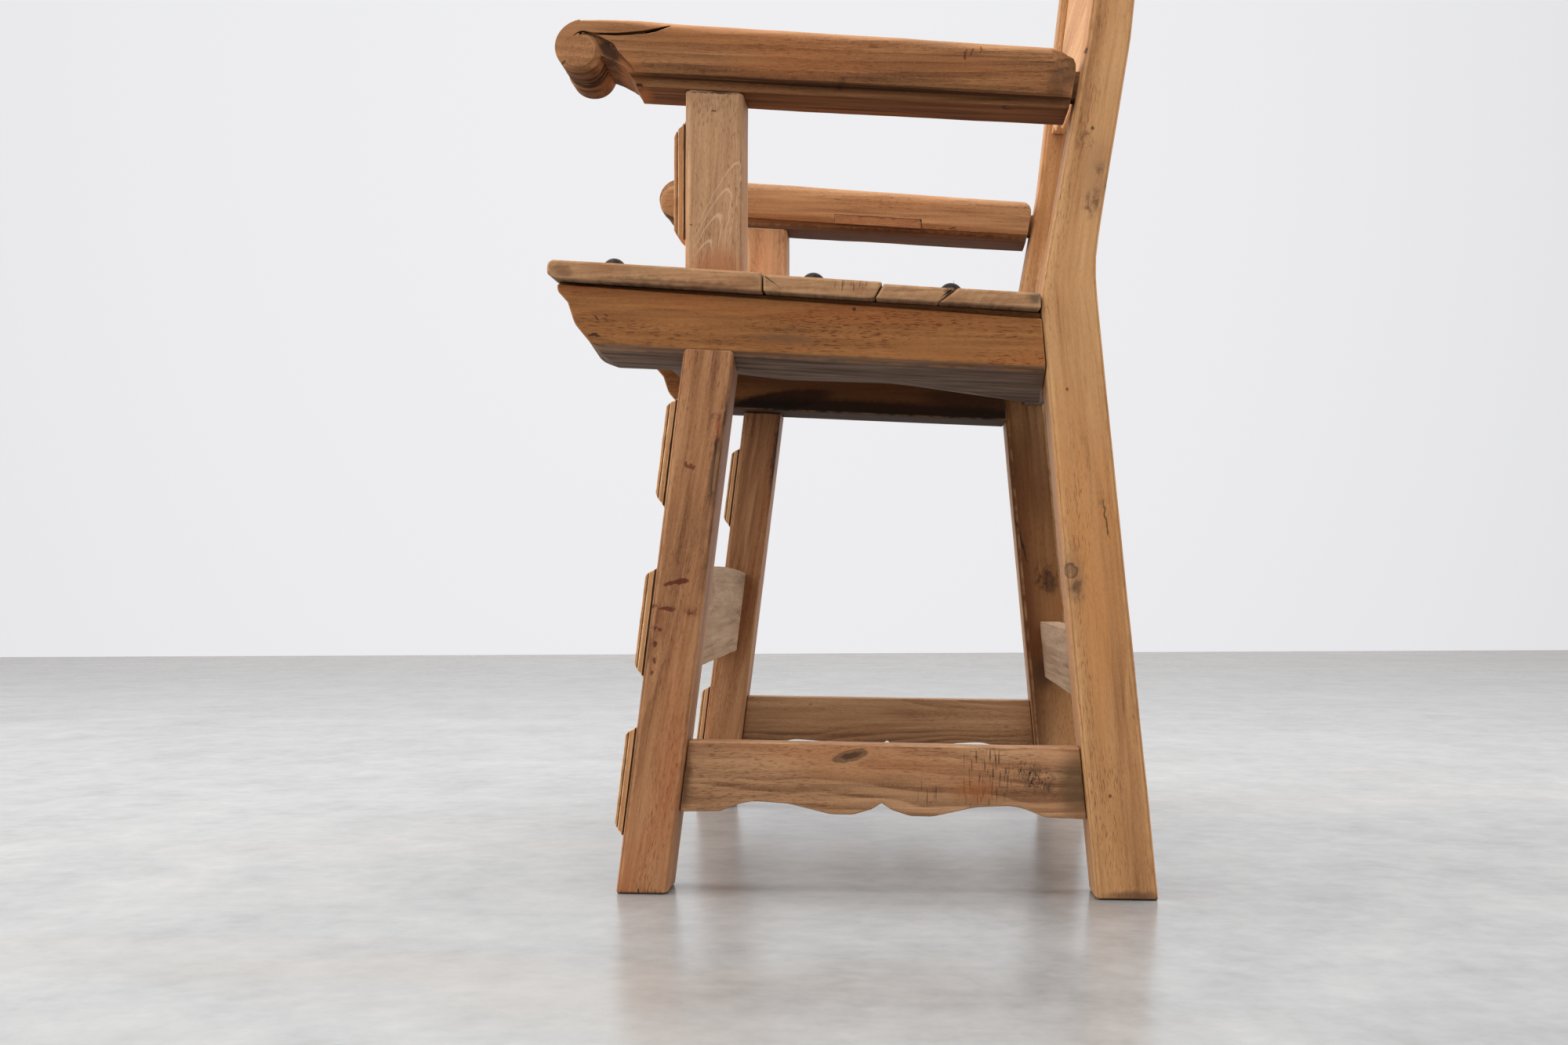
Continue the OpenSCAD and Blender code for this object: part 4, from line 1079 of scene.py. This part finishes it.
@dataclass
class LegFrame:
    """Two leaning front legs and two bent back posts."""

    bench: Bench
    edge: float = 0.0022
    lean: float = math.radians(10)
    bend: Triple = (0.47, -0.088, 0.147)

    def build(self) -> None:
        """Build the four uprights."""
        slope = (0.0, math.sin(self.lean), math.cos(self.lean))
        for side, sign in SIDES:
            near = sign > 0
            marks = NEAR_LEG_MARKS if near else FAR_LEG_MARKS
            pith = (-0.052 * sign, 0.018, 0)
            leg = Cut(slope, pith, shift=1.7 + sign, edge=self.edge, marks=marks)
            self.bench.finish(f"{side}_front_leg", leg, TAN, "leg_wood")
            marks = NEAR_POST_MARKS if near else FAR_POST_MARKS
            pith = (-0.04 * sign, -0.045, 0)
            post = Cut((0, 0, 1), pith, 4.1 + 2 * sign, edge=self.edge, bend=self.bend, marks=marks)
            self.bench.finish(f"{side}_back_post", post, HONEY if near else ROSY, "leg_wood")


@dataclass
class ArmSet:
    """Scrolled armrests on their posts, one with a let-in repair."""

    bench: Bench
    edge: float = 0.0005
    patch_edge: float = 0.0004
    facet_top: Triple = (0.287, 0.1429, 0.6460)
    facet_lean: float = 0.28
    facet_depth: float = 0.8
    crown_rise: float = 0.0045
    crown_drop: float = 0.45
    tenon_root: float = 0.1641

    def pare_end(self, work: bmesh.types.BMesh) -> None:
        """Pare a slanting facet off the outer rear corner of the near armrest.

        Args:
            work: Mesh of the armrest.
        """
        out, back, height = self.facet_top
        self.bench.slice(work, self.facet_top, (0.0, 1.0, self.facet_lean))
        for vert in work.verts:
            beyond = vert.co.y - back + (vert.co.z - height) * self.facet_lean
            if 0.0 < beyond and vert.co.y < self.tenon_root:
                vert.co.x = min(vert.co.x, out - beyond * self.facet_depth)
                vert.co.z = min(vert.co.z, height + self.crown_rise - beyond * self.crown_drop)

    def build(self) -> None:
        """Build both arms, their posts and the repair."""
        for side, sign in SIDES:
            near = sign > 0
            arm = Cut(
                (0.0, 1.0, -0.05),
                (-0.03 * sign, 0, -0.075),
                shift=0.9 + 1.3 * sign,
                edge=self.edge,
                pitch=0.007,
                wander=0.0005,
                marks=NEAR_ARM_MARKS if near else FAR_ARM_MARKS,
            )
            pare = self.pare_end if near else None
            self.bench.finish(f"{side}_armrest", arm, WARM if near else FAWN, "arm_wood", pare)
            pith = (-0.055 * sign, 0.004, 0)
            post = Cut((0.02, 0.05, 1.0), pith, 3.3 + sign, marks=ARM_POST_MARKS if near else ())
            self.bench.finish(f"{side}_arm_post", post, OAT, "leg_wood")
        low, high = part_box("right_armrest_patch")
        middle = (low + high) / 2
        seams = tuple(
            Mark(STAIN, (high.x, y, z), (0.006, wide, tall), turn, paint(40, 24, 16), strength)
            for y, z, wide, tall, turn, strength in (
                (high.y, middle.z, 0.0014, 0.012, 0, 0.95),
                (middle.y, high.z - 0.0035, 0.06, 0.0014, -4, 0.6),
                (middle.y, low.z + 0.003, 0.06, 0.0012, -4, 0.4),
            )
        )
        patch = Cut((0, 1, 0), (0.03, 0, 0.02), 6.2, edge=self.patch_edge, marks=seams)
        self.bench.finish("right_armrest_patch", patch, PATCH, "arm_wood")


@dataclass
class SeatFrame:
    """Side rails, cross rails, nailed boards and their nails."""

    bench: Bench
    board_edge: float = 0.0022
    rail_edge: float = 0.0014
    nail_cell: float = 0.0006

    def build(self) -> None:
        """Build the seat."""
        for side, sign in SIDES:
            marks, finish = (
                (NEAR_RAIL_MARKS, RAIL) if sign > 0 else (FAR_RAIL_MARKS, DARK_RAIL)
            )
            pith = (-0.05 * sign, 0, -0.03)
            rail = Cut((0, 1, -0.03), pith, 2.4 + sign, 0.045, self.rail_edge, marks=marks)
            self.bench.finish(f"{side}_seat_rail", rail, finish, "rail_wood")
            nails = Cut((0, 0, 1), (0, 0, 0), carved=self.nail_cell, wander=0.0002)
            self.bench.finish(f"{side}_seat_nails", nails, IronFinish(), "iron")
        for place, shift in (("front", 5.5), ("rear", 7.7)):
            cross = Cut((1, 0, 0), (0, 0.03, 0.05), shift=shift, edge=0.0015)
            self.bench.finish(f"{place}_seat_rail", cross, RAIL, "rail_wood")
        for number, marks in enumerate(BOARD_MARKS, 1):
            pith = (0, 0.02 * number - 0.04, -0.06)
            board = Cut((1, 0, 0), pith, 1.9 * number, edge=self.board_edge, marks=marks)
            self.bench.finish(f"seat_board_{number}", board, BOARD, "board_wood")


@dataclass
class StretcherSet:
    """Scalloped side stretchers and plain cross stretchers."""

    bench: Bench
    edge: float = 0.0014
    pitch: float = 0.01

    def build(self) -> None:
        """Build the stretchers."""
        for side, sign in SIDES:
            pith = (-0.05 * sign, 0, 0.04)
            marks = STRETCHER_MARKS if sign > 0 else ()
            bar = Cut((0, 1, 0), pith, 8.1 + sign, 0.06, self.edge, self.pitch, marks=marks)
            self.bench.finish(f"{side}_side_stretcher", bar, SPAN, "leg_wood")
        for place, shift in (("front", 9.5), ("rear", 10.7)):
            bar = Cut((1, 0, 0), (0, -0.05, 0.03), shift=shift, edge=0.0018)
            self.bench.finish(f"{place}_stretcher", bar, PALE, "pale_wood")


@dataclass
class BackSet:
    """Two boards between the back posts."""

    bench: Bench

    def build(self) -> None:
        """Build the back."""
        for name, shift in (("back_lower_board", 11.3), ("back_crest_board", 12.9)):
            board = Cut((1, 0, 0), (0, 0.07, 0.01), shift=shift, edge=0.002)
            self.bench.finish(name, board, HONEY, "back_wood")


@dataclass
class BlockSet:
    """Stepped blocks on the legs and arm posts."""

    bench: Bench
    edge: float = 0.0006

    def build(self) -> None:
        """Build the eight blocks."""
        count = 0
        for side in ("left", "right"):
            for name in ("leg_block_low", "leg_block_middle", "leg_block_high", "post_block"):
                count += 1
                lean = 0.0 if name == "post_block" else math.tan(math.radians(7))
                block = Cut(
                    (0, lean, 1), (0.03, 0.02, 0), shift=0.7 * count, edge=self.edge, wander=0.0002
                )
                self.bench.finish(f"{side}_{name}", block, BLOCK, "block_wood")


@dataclass
class Studio:
    """Camera, floor, wall and lamps."""

    lens: float = 38.7
    eye: Triple = (1.5689, 0.028815, 0.2415)
    yaw: float = math.radians(3.989)
    pitch: float = math.radians(1.958)
    wall_near: float = 5.30
    wall_far: float = 5.83
    wall_left: float = 2.46
    wall_right: float = 2.71
    wall_height: float = 9.0
    spare: float = 12.0
    sensor: float = 36.0
    centre: Triple = (0.0, 0.0, 0.42)

    def set_camera(self) -> tuple[Vector, Vector]:
        """Set the camera at the photograph's angle.

        Returns:
            Its level forward and right directions.
        """
        level = math.cos(self.pitch)
        forward = Vector(
            (-math.cos(self.yaw) * level, -math.sin(self.yaw) * level, math.sin(self.pitch))
        )
        right = Vector((-math.sin(self.yaw), math.cos(self.yaw), 0.0))
        up = right.cross(forward)
        data = bpy.data.cameras.new("camera")
        data.sensor_width = self.sensor
        data.lens = self.lens
        data.clip_start = 0.02
        camera = stand("camera", data)
        turn = Matrix((right, up, -forward)).transposed().to_4x4()
        camera.matrix_world = Matrix.Translation(Vector(self.eye)) @ turn
        bpy.context.scene.camera = camera
        return Vector((forward.x, forward.y, 0)).normalized(), right

    def add_sheet(self, name: str, corners: list[Vector], material: bpy.types.Material) -> None:
        """Add one flat face of the studio.

        Args:
            name: Name of the face.
            corners: Its corners in order.
            material: Its material.
        """
        work = bmesh.new()
        work.faces.new([work.verts.new(c) for c in corners])
        mesh = bpy.data.meshes.new(name)
        work.to_mesh(mesh)
        work.free()
        mesh.materials.append(material)
        stand(name, mesh)

    def seen(self, maker: NodeMaker) -> Sock:
        """Mask of the rays that show the backdrop as it is painted.

        Args:
            maker: Builder of the material.

        Returns:
            1 for camera, glossy and transmission rays.
        """
        rays = [
            maker.add("LightPath", {}, name)
            for name in ("Is Camera Ray", "Is Glossy Ray", "Is Transmission Ray")
        ]
        return rays[0].most(rays[1]).most(rays[2])

    def wall_material(self) -> bpy.types.Material:
        """Make the plain wall, with painted light that falls off towards its ends.

        Returns:
            Its material.
        """
        maker = NodeMaker(bpy.data.materials.new("plain_wall"))
        place = maker.place()
        aside = maker.part(place, 1) + 0.6
        above = maker.part(place, 2) - 2.0
        # Painted light: the wall grows darker away from one spot, as the light falls off.
        dim = aside * aside * 0.088 + above * above * 0.048
        glow = maker.glow(maker.mix(dim, paint(239, 239, 241), paint(226, 226, 228)))
        matt = maker.add("BsdfDiffuse", {"Color": (0.8, 0.8, 0.81, 1)})
        return maker.surface(maker.blend(self.seen(maker), matt, glow))

    def floor_material(self) -> bpy.types.Material:
        """Make the polished pale floor, with painted light towards the back and painted shade
        towards the camera.

        Returns:
            Its material.
        """
        maker = NodeMaker(bpy.data.materials.new("polished_floor"))
        place = maker.place()
        broad = maker.cloud(place, (1.9, 0.8, 1), 5.0, 0.6) - 0.5
        tone = broad * 1.1
        for rate, detail, roughness, strength in (
            ((4.2, 4.8, 1), 5.0, 0.7, 1.1),
            ((13, 15, 1), 5.0, 0.68, 1.0),
            ((52, 40, 1), 4.0, 0.65, 0.7),
        ):
            tone = tone + (maker.cloud(place, rate, detail, roughness) - 0.5) * strength
        greys = (134, 134, 133), (157, 157, 156), (174, 173, 171)
        colour = maker.ramp(tone + 0.5, 0.5, *(paint(*grey) for grey in greys))
        rust = maker.cloud(place, (2.6, 1.1, 1), 3.0, 0.6).rise(0.55, 0.75) * 0.3
        colour = maker.mix(rust, colour, paint(170, 156, 142))
        # Painted light: the far floor is made brighter where the lamps reach less.
        back = 1.0 - maker.part(place, 0).rise(-5.4, -1.6)
        colour = maker.tint(back, colour, (1.34, 1.23, 1.09, 1.0))
        # Painted shade: the floor grows darker towards the camera.
        close = maker.part(place, 0).rise(-0.1, 1.1)
        colour = maker.tint(close, colour, (0.86, 0.875, 0.885, 1.0))
        values = {"Base Color": colour, "Roughness": broad * 0.2 + 0.24, "Specular IOR Level": 0.5}
        shader = maker.add("BsdfPrincipled", values)
        away = maker.length(place).rise(4.8, 9.0) * self.seen(maker)
        return maker.surface(maker.blend(away, shader, maker.glow(paint(214, 213, 211))))

    def air(self) -> bpy.types.World:
        """Make the pale air around the studio, which lights the chair softly.

        Returns:
            The world that holds it.
        """
        maker = NodeMaker(bpy.data.worlds.new("studio_air"))
        colour = maker.mix(self.seen(maker), (0.37, 0.37, 0.37, 1.0), paint(234, 234, 236))
        values = {"Color": colour, "Strength": 1.0}
        return maker.surface(maker.add("Background", values))

    def add_lamp(self, name: str, at: Triple, size: float, watts: float) -> None:
        """Add a soft lamp that looks at the chair, and that no polished surface shows.

        Args:
            name: Name of the lamp.
            at: Its place.
            size: Side of its square.
            watts: Its power.
        """
        data = bpy.data.lights.new(name, "AREA")
        data.size = size
        data.energy = watts
        lamp = stand(name, data)
        lamp.visible_glossy = False
        aim = (Vector(self.centre) - Vector(at)).to_track_quat("-Z", "Y")
        lamp.matrix_world = Matrix.Translation(Vector(at)) @ aim.to_matrix().to_4x4()

    def build(self) -> None:
        """Build the studio."""
        forward, right = self.set_camera()
        eye = Vector((self.eye[0], self.eye[1], 0.0))
        left_end = eye + forward * self.wall_near - right * self.wall_left
        right_end = eye + forward * self.wall_far + right * self.wall_right
        along = (right_end - left_end).normalized()
        start, stop = left_end - along * self.spare, right_end + along * self.spare
        rise = Vector((0, 0, self.wall_height))
        self.add_sheet("wall", [start, stop, stop + rise, start + rise], self.wall_material())
        out = Vector((along.y, -along.x, 0)) * (2 * self.spare)
        if out.dot(forward) > 0:
            out = -out
        self.add_sheet("floor", [start, start + out, stop + out, stop], self.floor_material())
        bpy.context.scene.world = self.air()
        bpy.context.scene.view_settings.view_transform = "Standard"
        self.add_lamp("window", (0.2, -3.0, 1.6), 2.2, 88.0)
        self.add_lamp("ceiling", (-0.2, 0.0, 2.9), 2.6, 100.0)
        self.add_lamp("right_wall", (-0.4, 3.0, 1.5), 2.2, 52.0)
        self.add_lamp("behind_camera", (3.4, -0.3, 2.7), 2.8, 62.0)


def main() -> None:
    """Build the chair's looks and the studio."""
    logging.basicConfig(level=logging.INFO, format="%(name)s: %(message)s")
    Studio().build()
    bench = Bench()
    for assembly in (LegFrame, ArmSet, SeatFrame, StretcherSet, BackSet, BlockSet):
        assembly(bench).build()
        log.info("%s is built", assembly.__name__)


if __name__ == "__main__":
    main()
